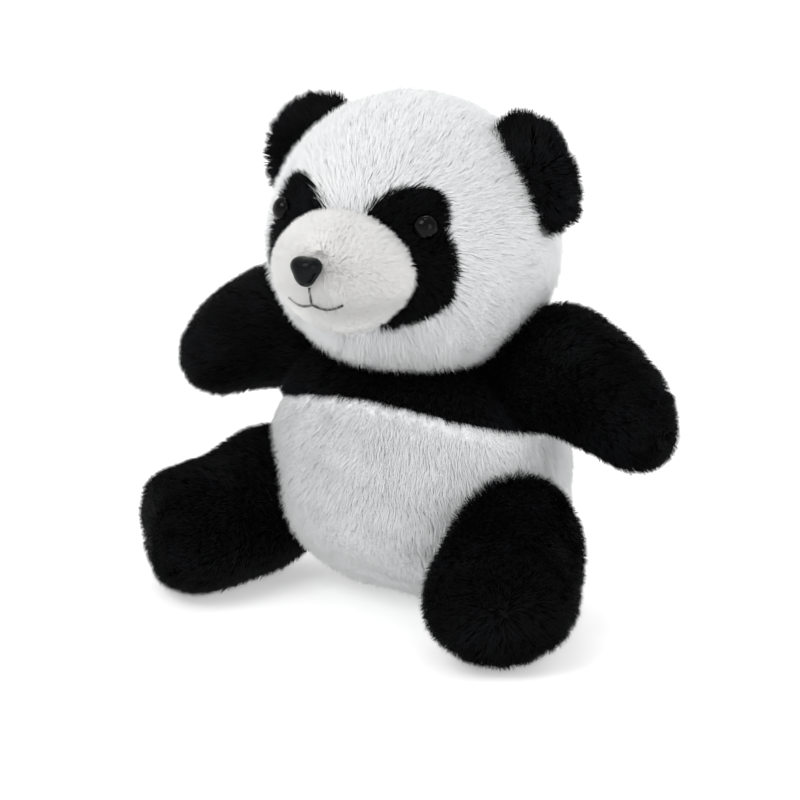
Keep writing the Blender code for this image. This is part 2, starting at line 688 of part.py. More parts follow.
def limb_parts(name, side_words, shape, ball_radius, pivot, outward, sideways, colour):
    """Both halves of a limb's skin and the stuffing inside it, for the left and the right limb."""
    skin_rings = ball_rings(ball_radius, BALL_SKIN_START, BALL_END, 4)[:-1] + list(blend_curve(shape, 7))
    fill_rings = ball_rings(ball_radius, -90.0, BALL_END, 7)[:-1] + list(blend_curve(shape, 7))
    for side, word in ((1.0, "left"), (-1.0, "right")):
        origin = mirrored(pivot, side)
        for half, side_word in zip((1.0, -1.0), side_words):
            turn = span(-90.0, 90.0, 10) if half > 0.0 else span(90.0, 270.0, 10)
            outer = limb_grid(skin_rings, pivot, outward, sideways, UP, turn, 0.0)
            inner = limb_grid(skin_rings, pivot, outward, sideways, UP, turn, CLOTH)
            points, faces = shell(outer, inner, closed=False)
            points = points + sideways * half * SEAM_GAP / 2.0
            full_name = name + "_" + word + "_" + side_word
            add_part(full_name, mirrored(points, side), faces, colour, 0.95, origin)
        surface = limb_grid(fill_rings, pivot, outward, sideways, UP, around(18), CLOTH + 2.0 * FILL_GAP)
        points, faces = solid(surface)
        reach = (points - pivot) @ outward
        limit = shape[-1][0] - CLOTH - FILL_GAP if shape[-1][1] < 1.0 else shape[-1][0]
        points = points - np.outer(np.maximum(reach - limit, 0.0), outward)
        add_part(name + "_" + word + "_stuffing", mirrored(points, side), faces, FIBRE, 1.0, origin)


limb_parts("arm", ("front", "back"), ARM_SHAPE, SHOULDER_BALL, SHOULDER, ARM_OUT, FORWARD, BLACK)
limb_parts("leg", ("outer", "inner"), LEG_SHAPE, HIP_BALL, HIP, LEG_OUT, LEG_ASIDE, BLACK)

sole_start, sole_width, sole_height, sole_lift = LEG_SHAPE[-1]
SOLE_RINGS = [(sole_start + SEAM_GAP, sole_width, sole_height, sole_lift),
              (sole_start + 1.6, sole_width - 0.6, sole_height - 0.6, sole_lift),
              (sole_start + 2.6, 0.78 * sole_width, 0.78 * sole_height, sole_lift),
              (sole_start + 3.1, 0.45 * sole_width, 0.45 * sole_height, sole_lift)]
for side, word in ((1.0, "left"), (-1.0, "right")):
    sole_points, sole_faces = solid(limb_grid(SOLE_RINGS, HIP, LEG_OUT, LEG_ASIDE, UP, around(18), 0.0))
    hip_origin = mirrored(HIP, side)
    shoulder_origin = mirrored(SHOULDER, side)
    add_part("leg_" + word + "_sole", mirrored(sole_points, side), sole_faces, BLACK, 0.95, hip_origin)
    shoulder_socket = add_cutter("shoulder_socket_" + word,
                                 *ball(shoulder_origin, SHOULDER_BALL + SHOULDER_ROOM))
    hip_socket = add_cutter("hip_socket_" + word, *ball(hip_origin, HIP_BALL + HIP_ROOM))
    for part in (yoke_front, yoke_back, torso_stuffing):
        cut(part, shoulder_socket)
    for part in (belly_panel, torso_stuffing):
        cut(part, hip_socket)
    if side > 0.0:
        cut(back_panel_left, shoulder_socket, hip_socket)
    else:
        cut(back_panel_right, shoulder_socket, hip_socket)
    cut(belly_panel, shoulder_socket)
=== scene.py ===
# %% [markdown]
# # A sitting plush panda
# The toy is sewn from pile fabric: a backing cloth with thousands of soft fibres standing on it.
# Each panel is cut flat, sewn inside out, turned and stuffed, so the cloth swells between seams.
# The looks are made the same way. First comes a skin for each stuffed part, then the pile that
# grows on it as real fibres, and last the hard pieces: eyes, nose and stitched mouth.
# Fur could also be a hair system or a bump texture. Mesh fibres are used here because they keep
# their shape in every program that opens the finished part.

# %% Load the frame
import json

import bpy
import numpy as np
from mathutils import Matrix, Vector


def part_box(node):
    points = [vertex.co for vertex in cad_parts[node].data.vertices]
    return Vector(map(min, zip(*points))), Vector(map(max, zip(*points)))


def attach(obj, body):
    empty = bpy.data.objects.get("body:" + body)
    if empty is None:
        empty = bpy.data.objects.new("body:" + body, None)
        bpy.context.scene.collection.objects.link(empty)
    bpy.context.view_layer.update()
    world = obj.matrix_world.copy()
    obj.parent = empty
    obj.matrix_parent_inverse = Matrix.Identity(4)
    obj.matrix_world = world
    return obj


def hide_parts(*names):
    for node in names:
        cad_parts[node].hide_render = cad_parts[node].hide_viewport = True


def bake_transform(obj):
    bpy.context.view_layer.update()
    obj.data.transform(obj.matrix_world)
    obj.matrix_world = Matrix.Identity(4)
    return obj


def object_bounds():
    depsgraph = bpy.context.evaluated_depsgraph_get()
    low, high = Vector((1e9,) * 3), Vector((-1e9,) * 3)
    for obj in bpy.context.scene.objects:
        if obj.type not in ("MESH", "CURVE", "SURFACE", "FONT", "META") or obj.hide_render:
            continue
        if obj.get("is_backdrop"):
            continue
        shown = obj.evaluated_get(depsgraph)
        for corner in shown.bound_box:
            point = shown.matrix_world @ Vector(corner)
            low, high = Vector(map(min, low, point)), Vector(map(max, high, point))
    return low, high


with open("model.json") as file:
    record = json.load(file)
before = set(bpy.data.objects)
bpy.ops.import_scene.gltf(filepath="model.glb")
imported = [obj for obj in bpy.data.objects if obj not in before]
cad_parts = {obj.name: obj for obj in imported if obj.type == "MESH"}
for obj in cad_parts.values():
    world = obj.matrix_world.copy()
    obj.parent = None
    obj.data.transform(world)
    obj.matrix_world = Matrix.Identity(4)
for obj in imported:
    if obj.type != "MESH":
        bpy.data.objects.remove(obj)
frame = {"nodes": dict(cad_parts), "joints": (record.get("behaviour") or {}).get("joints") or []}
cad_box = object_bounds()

MM = 0.001
JOINTS = {joint["name"]: joint for joint in frame["joints"]}

# %% [markdown]
# ## Where things are
# Every place comes from the frame: the joints say where the head, arms and legs turn, and the
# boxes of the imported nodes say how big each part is. Lengths below are in millimetres, because
# a toy maker thinks in millimetres, and turn into metres where a mesh is made.

# %% Places and sizes from the frame
def box_of(*nodes):
    """Lowest and highest corner of several nodes together, in millimetres."""
    corners = [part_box(node) for node in nodes]
    low = np.min([np.array(corner[0]) for corner in corners], axis=0) / MM
    high = np.max([np.array(corner[1]) for corner in corners], axis=0) / MM
    return low, high


def pivot_of(joint):
    """A joint's place in millimetres."""
    return np.array(JOINTS[joint]["pos_m"]) / MM


NECK = pivot_of("neck_turn")
SHOULDER = pivot_of("arm_left_raise")
HIP = pivot_of("leg_left_spread")
head_low, head_high = box_of("face_panel", "head_back_left", "head_back_right")
torso_low, torso_high = box_of("belly_panel", "back_panel_left", "back_panel_right")

HEAD_LIFT = 55.0
HEAD_SINK = 2.5
HEAD_SIZE = (head_high - head_low) / 2.0
HEAD_CENTRE = np.array([0.0, (head_low[1] + head_high[1]) / 2.0, NECK[2] + HEAD_LIFT])
HEAD_TOP = head_high[2] - HEAD_CENTRE[2]
HEAD_BOTTOM = HEAD_CENTRE[2] - NECK[2] + HEAD_SINK
HEAD_PITCH = np.radians(2.5)
TORSO_WIDTH = torso_high[0]
TORSO_DEPTH = (torso_high[1] - torso_low[1]) / 2.0
TORSO_MIDDLE_Y = (torso_low[1] + torso_high[1]) / 2.0
UP = np.array([0.0, 0.0, 1.0])
SIDES = ((1.0, "left"), (-1.0, "right"))


def mirrored(side):
    """A factor that keeps the left side's places (1) or mirrors them onto the right side (-1)."""
    return np.array([side, 1.0, 1.0])


print("head", np.round(HEAD_SIZE, 1), "top", round(HEAD_TOP, 1), "torso", round(TORSO_WIDTH, 1))

# %% [markdown]
# ## Meshes from arrays
# A skin is a grid of points: rings that go round the part, from one pole to the other. The
# rings become quads, each pole becomes a fan of triangles, and the result is one closed form.
# Numpy works out all the points at once, which is much faster than moving vertices one by one.

# %% Mesh helpers
def signed_volume(points, triangles):
    """The sum of a . (b x c) over the triangles: six times the volume, positive if they face outward."""
    a, b, c = (points[triangles[:, k]] for k in range(3))
    return np.einsum("ij,ij->", a, np.cross(b, c))


def make_object(name, points, *face_sets):
    """An object at the origin from points in millimetres and arrays of faces, shaded smooth."""
    corners = np.concatenate([faces.ravel() for faces in face_sets])
    sizes = np.concatenate([np.full(len(faces), faces.shape[1]) for faces in face_sets])
    mesh = bpy.data.meshes.new(name)
    mesh.vertices.add(len(points))
    mesh.vertices.foreach_set("co", (points * MM).astype(np.float32).ravel())
    mesh.loops.add(len(corners))
    mesh.loops.foreach_set("vertex_index", corners.astype(np.int32))
    mesh.polygons.add(len(sizes))
    mesh.polygons.foreach_set("loop_start", (np.cumsum(sizes) - sizes).astype(np.int32))
    mesh.update(calc_edges=True)
    mesh.shade_smooth()
    piece = bpy.data.objects.new(name, mesh)
    bpy.context.scene.collection.objects.link(piece)
    return piece


def ring_faces(rows, columns):
    """Quads between rings of points that go round."""
    row, column = np.meshgrid(np.arange(rows - 1), np.arange(columns), indexing="ij")
    following = (column + 1) % columns
    start = row * columns
    quads = [start + column, start + following, start + columns + following, start + columns + column]
    return np.stack(quads, axis=-1).reshape(-1, 4)


def closed_form(name, grid):
    """A closed object from rings (rows, columns, 3), each end closed by a fan to its middle."""
    rows, columns = grid.shape[:2]
    middles = np.stack([grid[0].mean(axis=0), grid[-1].mean(axis=0)])
    points = np.concatenate([grid.reshape(-1, 3), middles])
    quads = ring_faces(rows, columns)
    column = np.arange(columns)
    following = (column + 1) % columns
    count = rows * columns
    last = (rows - 1) * columns
    first_fan = np.stack([following, column, np.full(columns, count)], axis=-1)
    last_fan = np.stack([last + column, last + following, np.full(columns, count + 1)], axis=-1)
    fans = np.concatenate([first_fan, last_fan])
    if signed_volume(points, np.concatenate([quads[:, :3], quads[:, [0, 2, 3]], fans])) < 0.0:
        quads = quads[:, ::-1]
        fans = fans[:, ::-1]
    return make_object(name, points, quads, fans)


def place_piece(piece, material, nodes, body=None):
    """Give a piece its material and body, and let it take the place of CAD nodes."""
    piece.data.materials.append(material)
    if body is not None:
        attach(piece, body)
    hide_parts(*nodes)
    print(piece.name, "with", len(piece.data.vertices), "points stands for", ", ".join(nodes))


def unit(vectors):
    """Vectors brought to length one."""
    return vectors / np.maximum(np.linalg.norm(vectors, axis=-1, keepdims=True), 1e-9)


def around(count):
    """Evenly spaced angles all the way round."""
    return np.linspace(0.0, 2.0 * np.pi, count, endpoint=False)


def waves(points, size, seed, layers=5):
    """A smooth random vector field: a sum of sine waves in random directions, each about size long."""
    random = np.random.default_rng(seed)
    total = np.zeros_like(points)
    for layer in range(layers):
        direction = unit(random.normal(size=3)) * 2.0 * np.pi / (size * random.uniform(0.7, 1.4))
        phase = random.uniform(0.0, 2.0 * np.pi, 3)
        total += np.sin((points @ direction)[:, None] + phase)
    return total / np.sqrt(layers)


def smooth_curve(stations, count):
    """Rows of numbers joined by a Catmull-Rom curve and read off at evenly spaced steps."""
    stations = np.asarray(stations, dtype=float)
    place = np.linspace(0.0, len(stations) - 1.0, count)
    index = np.minimum(place.astype(int), len(stations) - 2)
    part = (place - index)[:, None]
    slopes = np.gradient(stations, axis=0)
    low, high = stations[index], stations[index + 1]
    curve = low * (1 + 2 * part) * (1 - part) ** 2 + high * part ** 2 * (3 - 2 * part)
    return curve + slopes[index] * part * (1 - part) ** 2 - slopes[index + 1] * part ** 2 * (1 - part)


# %% [markdown]
# ## Finishes
# A finish is a material made of nodes. Writing node links by hand is slow to read, so a small
# class wraps one socket and lets an expression such as `patches * 0.6 + 0.4` add the Math nodes.
# Pile fibres take their colour from two numbers that every fibre carries in its own map: how far
# along the fibre a point is, from root to tip, and the fibre's own shade, a tone that varies at
# random. The darker roots are painted shade where the fibres shade one another, and on the black
# pile the paler tips of some fibres are painted sheen as well as random tone.

# %% Shader helpers
NOISE_ROUGHNESS = 0.55


class Wire:
    """A socket in a node tree. Arithmetic on it adds Math nodes."""

    def __init__(self, finish, socket):
        self.finish = finish
        self.socket = socket

    def math(self, operation, first, second):
        """Add a Math node."""
        return self.finish.node("ShaderNodeMath", {"operation": operation}, {0: first, 1: second})

    def __add__(self, other):
        return self.math("ADD", self, other)

    __radd__ = __add__

    def __mul__(self, other):
        return self.math("MULTIPLY", self, other)

    __rmul__ = __mul__

    def __pow__(self, other):
        return self.math("POWER", self, other)


class Finish:
    """A Principled material under construction."""

    def __init__(self, name, **constants):
        self.material = bpy.data.materials.new(name)
        self.material.use_nodes = True
        self.tree = self.material.node_tree
        self.shader = self.tree.nodes["Principled BSDF"]
        for socket, value in constants.items():
            self.shader.inputs[socket.replace("_", " ")].default_value = value

    def node(self, kind, settings=None, inputs=None, output=0):
        """Add a node: its settings first, then the values or links of its sockets."""
        node = self.tree.nodes.new(kind)
        for setting, value in (settings or {}).items():
            setattr(node, setting, value)
        for socket, value in (inputs or {}).items():
            self.connect(value, node.inputs[socket])
        return Wire(self, node.outputs[output])

    def connect(self, value, socket):
        """Link a wire to a socket, or set the socket's own value."""
        if isinstance(value, Wire):
            self.tree.links.new(value.socket, socket)
        else:
            socket.default_value = value

    def feed(self, **sockets):
        """Feed the shader's sockets."""
        for socket, value in sockets.items():
            self.connect(value, self.shader.inputs[socket.replace("_", " ")])
        return self.material

    def blend(self, share, first, second):
        """Mix two colours by a share. A colour is a wire, or three numbers without alpha."""
        colours = {6: (*first, 1.0) if isinstance(first, tuple) else first, 7: (*second, 1.0)}
        return self.node("ShaderNodeMix", {"data_type": "RGBA"}, {0: share, **colours}, output=2)

    def noise(self, scale, detail=3.0):
        """Noise over the piece's own space: scale is how many features fit in a metre."""
        place = self.node("ShaderNodeTexCoord", output=3)
        inputs = {"Vector": place, "Scale": scale, "Detail": detail, "Roughness": NOISE_ROUGHNESS}
        return self.node("ShaderNodeTexNoise", {}, inputs)

    def bump(self, height, strength, distance):
        """A normal tilted by a height."""
        inputs = {"Strength": strength, "Distance": distance, "Height": height}
        return self.node("ShaderNodeBump", {}, inputs)


# %% Pile and cloth finishes
FIBRE_MAP = "OFBake"


def painted_shade_pile_finish(name, root, tip, pale, **constants):
    """Fibres: root colour to tip colour along each fibre, with a share of paler fibres.

    The darker root is painted shade between the fibres. The paler share is a random tone that grows
    towards the tip, and on black pile it is painted sheen as well.
    """
    finish = Finish(name, **constants)
    fibre = finish.node("ShaderNodeUVMap", {"uv_map": FIBRE_MAP})
    shade, along = (finish.node("ShaderNodeSeparateXYZ", {}, {0: fibre}, output=axis) for axis in (0, 1))
    # Darker at the root: painted shade between the fibres.
    colour = finish.blend(along ** 0.8, root, tip)
    # A random share of fibres grows paler towards the tip; on black pile this is painted sheen as well.
    colour = finish.blend(shade ** 2.0 * along, colour, pale)
    return finish.feed(Base_Color=colour)


def cloth_finish(name, dark_tone_and_painted_shade, ridge):
    """Backing cloth between the fibres: knitted dots over a slow random change of tone.

    The darker colour is partly random tone and partly painted shade in the knit's hollows, and the
    white and cream cloths are darker than their pile: painted shade between the fibres.
    """
    finish = Finish(name, Roughness=0.95, Specular_IOR_Level=0.15)
    patches = finish.noise(55.0)
    knit = finish.noise(900.0, detail=1.0)
    # Dark where the patches are low, a random tone, and where the knit is low, painted shade in its hollows.
    colour = finish.blend(patches * 0.6 + knit * 0.4, dark_tone_and_painted_shade, ridge)
    return finish.feed(Base_Color=colour, Normal=finish.bump(knit, 0.5, 0.0004))


MATT = {"Roughness": 0.85, "Specular_IOR_Level": 0.15, "Sheen_Weight": 0.2, "Sheen_Roughness": 0.5}
SILKY = {"Roughness": 0.45, "Specular_IOR_Level": 0.05}
# Root colours darker than tip colours are painted shade between the fibres; the black pile's pale colour is
# painted sheen as well as random tone.
WHITE_PILE = painted_shade_pile_finish("white pile", (0.87, 0.885, 0.895), (0.93, 0.94, 0.945),
                         (0.97, 0.975, 0.975), **MATT)
CREAM_PILE = painted_shade_pile_finish("cream pile", (0.87, 0.865, 0.85), (0.93, 0.925, 0.915),
                         (0.96, 0.955, 0.95), **MATT)
BLACK_PILE = painted_shade_pile_finish("black pile", (0.0003, 0.0003, 0.0003), (0.0012, 0.0013, 0.0015),
                         (0.013, 0.014, 0.0165), **SILKY)
# The white and cream cloths are darker than their pile: painted shade between the fibres.
WHITE_CLOTH = cloth_finish("white backing cloth", (0.72, 0.725, 0.74), (0.82, 0.82, 0.83))
CREAM_CLOTH = cloth_finish("cream backing cloth", (0.72, 0.70, 0.66), (0.82, 0.80, 0.76))
BLACK_CLOTH = cloth_finish("black backing cloth", (0.0008, 0.0008, 0.0008), (0.002, 0.002, 0.002))
for made in (WHITE_PILE, CREAM_PILE, BLACK_PILE, WHITE_CLOTH, CREAM_CLOTH, BLACK_CLOTH):
    print(made.name, "with", len(made.node_tree.nodes), "nodes")

# %% [markdown]
# ## Stuffing pushes the skins out
# A stuffed skin is held at its seams and swells between them. A cloth simulation with pressure
# inside and no gravity does just that, and it could even sew the flat panels together. Starting
# from a shape that is nearly full is quicker and safer, and leaves the simulation little to do:
# the belly swells by about 2 mm and the head by hardly anything. No point may move more than a
# few millimetres, so the part keeps its pattern. One subdivision then smooths the cloth.

# %% Filling a skin
FILL_FRAMES = 20
FILL_PRESSURE = 4.0


def coordinates(mesh):
    """A mesh's points in millimetres."""
    flat = np.zeros(len(mesh.vertices) * 3, dtype=np.float32)
    mesh.vertices.foreach_get("co", flat)
    return flat.reshape(-1, 3).astype(float) / MM


def evaluated(piece):
    """A copy of a piece's mesh as its modifiers leave it."""
    graph = bpy.context.evaluated_depsgraph_get()
    return bpy.data.meshes.new_from_object(piece.evaluated_get(graph))


def fill(skin, on_seam, most):
    """Swell a skin by cloth simulation, its seam points held and no point moving more than most."""
    rest = coordinates(skin.data)
    seam = skin.vertex_groups.new(name="seam")
    seam.add(np.flatnonzero(on_seam).tolist(), 1.0, "REPLACE")
    filling = skin.modifiers.new("filling", "CLOTH")
    filling.settings.use_pressure = True
    filling.settings.uniform_pressure_force = FILL_PRESSURE
    filling.settings.effector_weights.gravity = 0.0
    filling.settings.vertex_group_mass = seam.name
    filling.point_cache.frame_start = 1
    filling.point_cache.frame_end = FILL_FRAMES
    for moment in range(1, FILL_FRAMES + 1):
        bpy.context.scene.frame_set(moment)
    swollen = evaluated(skin)
    move = coordinates(swollen) - rest
    skin.modifiers.remove(filling)
    skin.vertex_groups.remove(seam)
    bpy.data.meshes.remove(swollen)
    bpy.context.scene.frame_set(1)
    length = np.linalg.norm(move, axis=1, keepdims=True)
    move *= np.minimum(1.0, most / np.maximum(length, 1e-6))
    skin.data.vertices.foreach_set("co", ((rest + move) * MM).astype(np.float32).ravel())
    skin.data.update()
    print(skin.name, "swelled by up to", round(float(np.linalg.norm(move, axis=1).max()), 2), "mm")
    soften(skin)


def soften(skin):
    """Round a skin's facets with one level of subdivision."""
    smoother = skin.modifiers.new("smooth cloth", "SUBSURF")
    smoother.levels = 1
    smoother.render_levels = 1


# %% [markdown]
# ## Growing the pile
# Each fibre is a thin three-sided spike that leans over the way the pile was brushed.
# Neighbouring fibres cling together in tufts, so each fibre's tip is drawn towards the tip of
# the nearest tuft's own fibre. A short fibre is straight: four points and four triangles, few
# enough for the many thousands that a toy needs. The long shaggy fibres of the ears have a bend
# as well, with seven points and ten triangles. Light sinks into real pile and comes out again, so
# it looks soft. Shading each fibre mostly with the normal of the skin below gives that softness.

# %% The pile grower
SPIKE_SIDES = around(3)[None, :, None]
BENT_QUADS = np.array([[0, 1, 4, 3], [1, 2, 5, 4], [2, 0, 3, 5]])
BENT_TRIANGLES = np.array([[3, 4, 6], [4, 5, 6], [5, 3, 6], [2, 1, 0]])
STRAIGHT_TRIANGLES = np.array([[0, 1, 3], [1, 2, 3], [2, 0, 3], [2, 1, 0]])
FLOOR = 0.3
ROOT_DEPTH = 0.3
STRAY = 0.22
SWIRL_SIZE = 14.0
SHADE_SIZE = 30.0
SHORTEST, LONGEST = 0.72, 1.12
THINNEST, THICKEST = 0.8, 1.2
RISE_SPREAD = np.radians(9.0)
WAIST = 0.85
BEND_CLING = 0.4
PALE_OWN_SHARE = 0.22
BLACK_OWN_SHARE = 1.3
MASK_MARGIN = 2.0
SPARE = 1.3


def scattered(skin, count, random, where):
    """Random points spread evenly over a skin, with the normals there, kept where a mask allows."""
    mesh = evaluated(skin)
    mesh.calc_loop_triangles()
    points = coordinates(mesh)
    normals = np.zeros(len(mesh.vertices) * 3, dtype=np.float32)
    mesh.vertices.foreach_get("normal", normals)
    normals = normals.reshape(-1, 3).astype(float)
    corners = np.zeros(len(mesh.loop_triangles) * 3, dtype=np.int32)
    mesh.loop_triangles.foreach_get("vertices", corners)
    corners = corners.reshape(-1, 3)
    bpy.data.meshes.remove(mesh)
    a, b, c = (points[corners[:, k]] for k in range(3))
    area = np.linalg.norm(np.cross(b - a, c - a), axis=1) / 2.0
    area *= where((a + b + c) / 3.0) > -MASK_MARGIN
    chosen = random.choice(len(corners), size=int(count * SPARE), p=area / area.sum())
    share = random.dirichlet((1.0, 1.0, 1.0), size=len(chosen))
    roots = np.einsum("ij,ijk->ik", share, points[corners[chosen]])
    outward = unit(np.einsum("ij,ijk->ik", share, normals[corners[chosen]]))
    kept = np.flatnonzero(where(roots) > 0.0)[:count]
    return roots[kept], outward[kept], float(area.sum())


def nearest(points, centres):
    """For each point, which centre is nearest, worked out in blocks to save memory."""
    found = [np.argmin(((block[:, None] - centres[None]) ** 2).sum(axis=2), axis=1)
             for block in np.array_split(points, max(1, len(points) // 2000))]
    return np.concatenate(found)


def everywhere(points):
    """A mask that keeps every fibre."""
    return np.ones(len(points))


def grow_pile(name, skin, finish, count, length, flow, seed, where=everywhere,
              rise=(48.0, 16.0), width=0.46, tuft=3.6, cling=0.24, ruffle=0.22, bent=False):
    """Fibres over a skin, kept where the mask allows.

    A fibre is two stretches, each half its length: root + outward * sin(rise) + flow * cos(rise).
    Length is in mm, flow is a field of brushing directions and rise holds the stretches' angles.
    """
    random = np.random.default_rng(seed)
    roots, outward, area = scattered(skin, count, random, where)
    total = len(roots)
    brushed = unit(flow(roots)) + ruffle * waves(roots, SWIRL_SIZE, seed + 1)
    brushed = brushed + STRAY * random.normal(size=(total, 3))
    along = unit(brushed - outward * np.einsum("ij,ij->i", brushed, outward)[:, None])
    own_length = length(roots) if callable(length) else np.full(total, float(length))
    own_length = (own_length * random.uniform(SHORTEST, LONGEST, total))[:, None]
    angle = np.radians(rise)[None, :] + RISE_SPREAD * random.normal(size=(total, 1))
    first = outward * np.sin(angle[:, :1]) + along * np.cos(angle[:, :1])
    second = outward * np.sin(angle[:, 1:]) + along * np.cos(angle[:, 1:])
    bend = roots + first * own_length * 0.5
    tip = bend + second * own_length * 0.5
    tufts = np.arange(min(total, max(8, int(area / tuft ** 2))))
    tuft_of = nearest(roots, roots[tufts])
    bend = bend + BEND_CLING * cling * (bend[tuft_of] - bend)
    tip = tip + cling * (tip[tuft_of] - tip)
    across = unit(np.cross(along, outward))
    over = unit(np.cross(tip - roots, across))
    sides = np.cos(SPIKE_SIDES) * across[:, None] + np.sin(SPIKE_SIDES) * over[:, None]
    thick = width * random.uniform(THINNEST, THICKEST, (total, 1, 1)) / 2.0
    base = (roots - outward * ROOT_DEPTH)[:, None] + sides * thick
    waist = [bend[:, None] + sides * thick * WAIST] if bent else []
    points = np.concatenate([base, *waist, tip[:, None]], axis=1)
    points[..., 2] = np.maximum(points[..., 2], FLOOR)
    start = (np.arange(total) * points.shape[1])[:, None, None]
    patterns = (BENT_QUADS, BENT_TRIANGLES) if bent else (STRAIGHT_TRIANGLES,)
    faces = [(pattern[None] + start).reshape(-1, pattern.shape[1]) for pattern in patterns]
    pile = make_object(name, points.reshape(-1, 3), *faces)
    own_way = unit(points - points.mean(axis=1, keepdims=True))
    own_share = BLACK_OWN_SHARE if finish is BLACK_PILE else PALE_OWN_SHARE
    normals = unit(outward[:, None] + own_share * own_way).reshape(-1, 3)
    pile.data.normals_split_custom_set_from_vertices(normals)
    shade = 0.5 + 0.2 * waves(roots, SHADE_SIZE, seed + 2)[:, 0] + 0.16 * random.normal(size=total)
    map_fibres(pile, np.clip(shade, 0.02, 0.96), patterns)
    pile.data.materials.append(finish)
    print(name, total, "fibres on", round(area / 100.0), "square cm")
    return pile


def map_fibres(pile, shade, patterns):
    """Each fibre's own map: across is its shade, up is how far along it a point is."""
    points = 1 + max(int(pattern.max()) for pattern in patterns)
    up = np.array([0.02] * 3 + [0.5] * (points - 4) + [0.98])
    side = np.array([0.0, 0.012, 0.024] * 2)[:points - 1]
    side = np.append(side, 0.012)
    across = [(shade[:, None] + side[pattern.ravel()][None, :]).ravel() for pattern in patterns]
    height = [np.tile(up[pattern.ravel()], len(shade)) for pattern in patterns]
    values = np.stack([np.concatenate(across), np.concatenate(height)], axis=-1)
    layer = pile.data.uv_layers.new(name=FIBRE_MAP)
    layer.data.foreach_set("uv", values.astype(np.float32).ravel())


# %% [markdown]
# ## Head
# The head is a stuffed ball, wider than it is deep and rounder on top than below. It is pitched
# back a little on the neck. Points are worked out in the head's own axes and then placed.

# %% Head shape
PILE_RISE = 4.0
FACE_SEAM_Y = 9.0
FACE_SEAM_WIDTH = 2.5
NECK_OPENING = -48.0
COS_PITCH, SIN_PITCH = np.cos(HEAD_PITCH), np.sin(HEAD_PITCH)
HEAD_TURN = np.array([[1.0, 0.0, 0.0], [0.0, COS_PITCH, SIN_PITCH], [0.0, -SIN_PITCH, COS_PITCH]])


def head_place(points):
    """Head axes to the frame: pitch, then lift onto the neck."""
    return points @ HEAD_TURN.T + HEAD_CENTRE


def to_head(points):
    """The frame to head axes."""
    return (points - HEAD_CENTRE) @ HEAD_TURN


def head_radii(points, shrink=0.0):
    """The head's three half sizes, the upper half taller than the lower one."""
    height = np.where(points[..., 2] > 0.0, HEAD_TOP, HEAD_BOTTOM) - shrink
    wide = np.full_like(height, HEAD_SIZE[0] - shrink)
    deep = np.full_like(height, HEAD_SIZE[1] - shrink)
    return np.stack([wide, deep, height], axis=-1)


def on_head(points, shrink=PILE_RISE):
    """Points in head axes pushed along their own direction onto the head's skin."""
    radii = head_radii(points, shrink)
    return points / np.linalg.norm(points / radii, axis=-1, keepdims=True)


def head_normal(points):
    """The way the head's surface faces at points on it."""
    return unit(points / head_radii(points) ** 2)


def ball_directions(rows, columns):
    """Directions on rings from straight up to straight down."""
    down = np.linspace(0.04, np.pi - 0.04, rows)[:, None]
    turn = around(columns)[None, :]
    return np.stack([np.sin(down) * np.sin(turn), -np.sin(down) * np.cos(turn),
                     np.cos(down) * np.ones_like(turn)], axis=-1)


head_rings = on_head(ball_directions(34, 56))
head_skin = closed_form("head_skin", head_place(head_rings))
head_points = to_head(coordinates(head_skin.data))
head_seam = (np.abs(head_points[:, 0]) < 0.5) & (head_points[:, 1] > 0.0)
head_seam |= np.abs(head_points[:, 1] - FACE_SEAM_Y) < FACE_SEAM_WIDTH
head_seam |= head_points[:, 2] < NECK_OPENING
fill(head_skin, head_seam, most=1.5)
place_piece(head_skin, WHITE_CLOTH, ("face_panel", "head_back_left", "head_back_right"),
            body="head")

# %% [markdown]
# ## Eye patches
# Each patch is a piece of black pile sewn into the face round the eye: narrow beside the nose,
# broad over the cheek. Its outline is a closed curve through a few points, seen from the front.
# The same outline keeps the white fibres of the face out of the patch.

# %% Patch outline
EYE_PLACE = np.array([38.0, -50.0, 19.0])
PATCH_OUTLINE = np.array([(7.5, 17.0), (13.0, 27.0), (23.0, 33.0), (34.0, 33.5), (41.0, 28.5), (43.5, 19.0),
                          (47.0, 8.0), (48.0, -3.0), (45.0, -13.5), (37.0, -20.5), (24.0, -26.0),
                          (12.0, -26.0), (7.0, 0.0)])


def closed_curve(corners, count):
    """A smooth closed curve through corners, by the Catmull-Rom rule."""
    place = np.linspace(0.0, len(corners), count, endpoint=False)
    index = place.astype(int)
    part = (place - index)[:, None]
    before, low, high, after = (corners[(index + step) % len(corners)] for step in (-1, 0, 1, 2))
    return 0.5 * (2 * low + (high - before) * part + (2 * before - 5 * low + 4 * high - after) * part ** 2
                  + (3 * low - before - 3 * high + after) * part ** 3)


patch_edge = closed_curve(PATCH_OUTLINE, 72)
BEHIND_HEAD = 50.0
print("patch", np.round(np.ptp(patch_edge, axis=0), 1), "mm across and high")


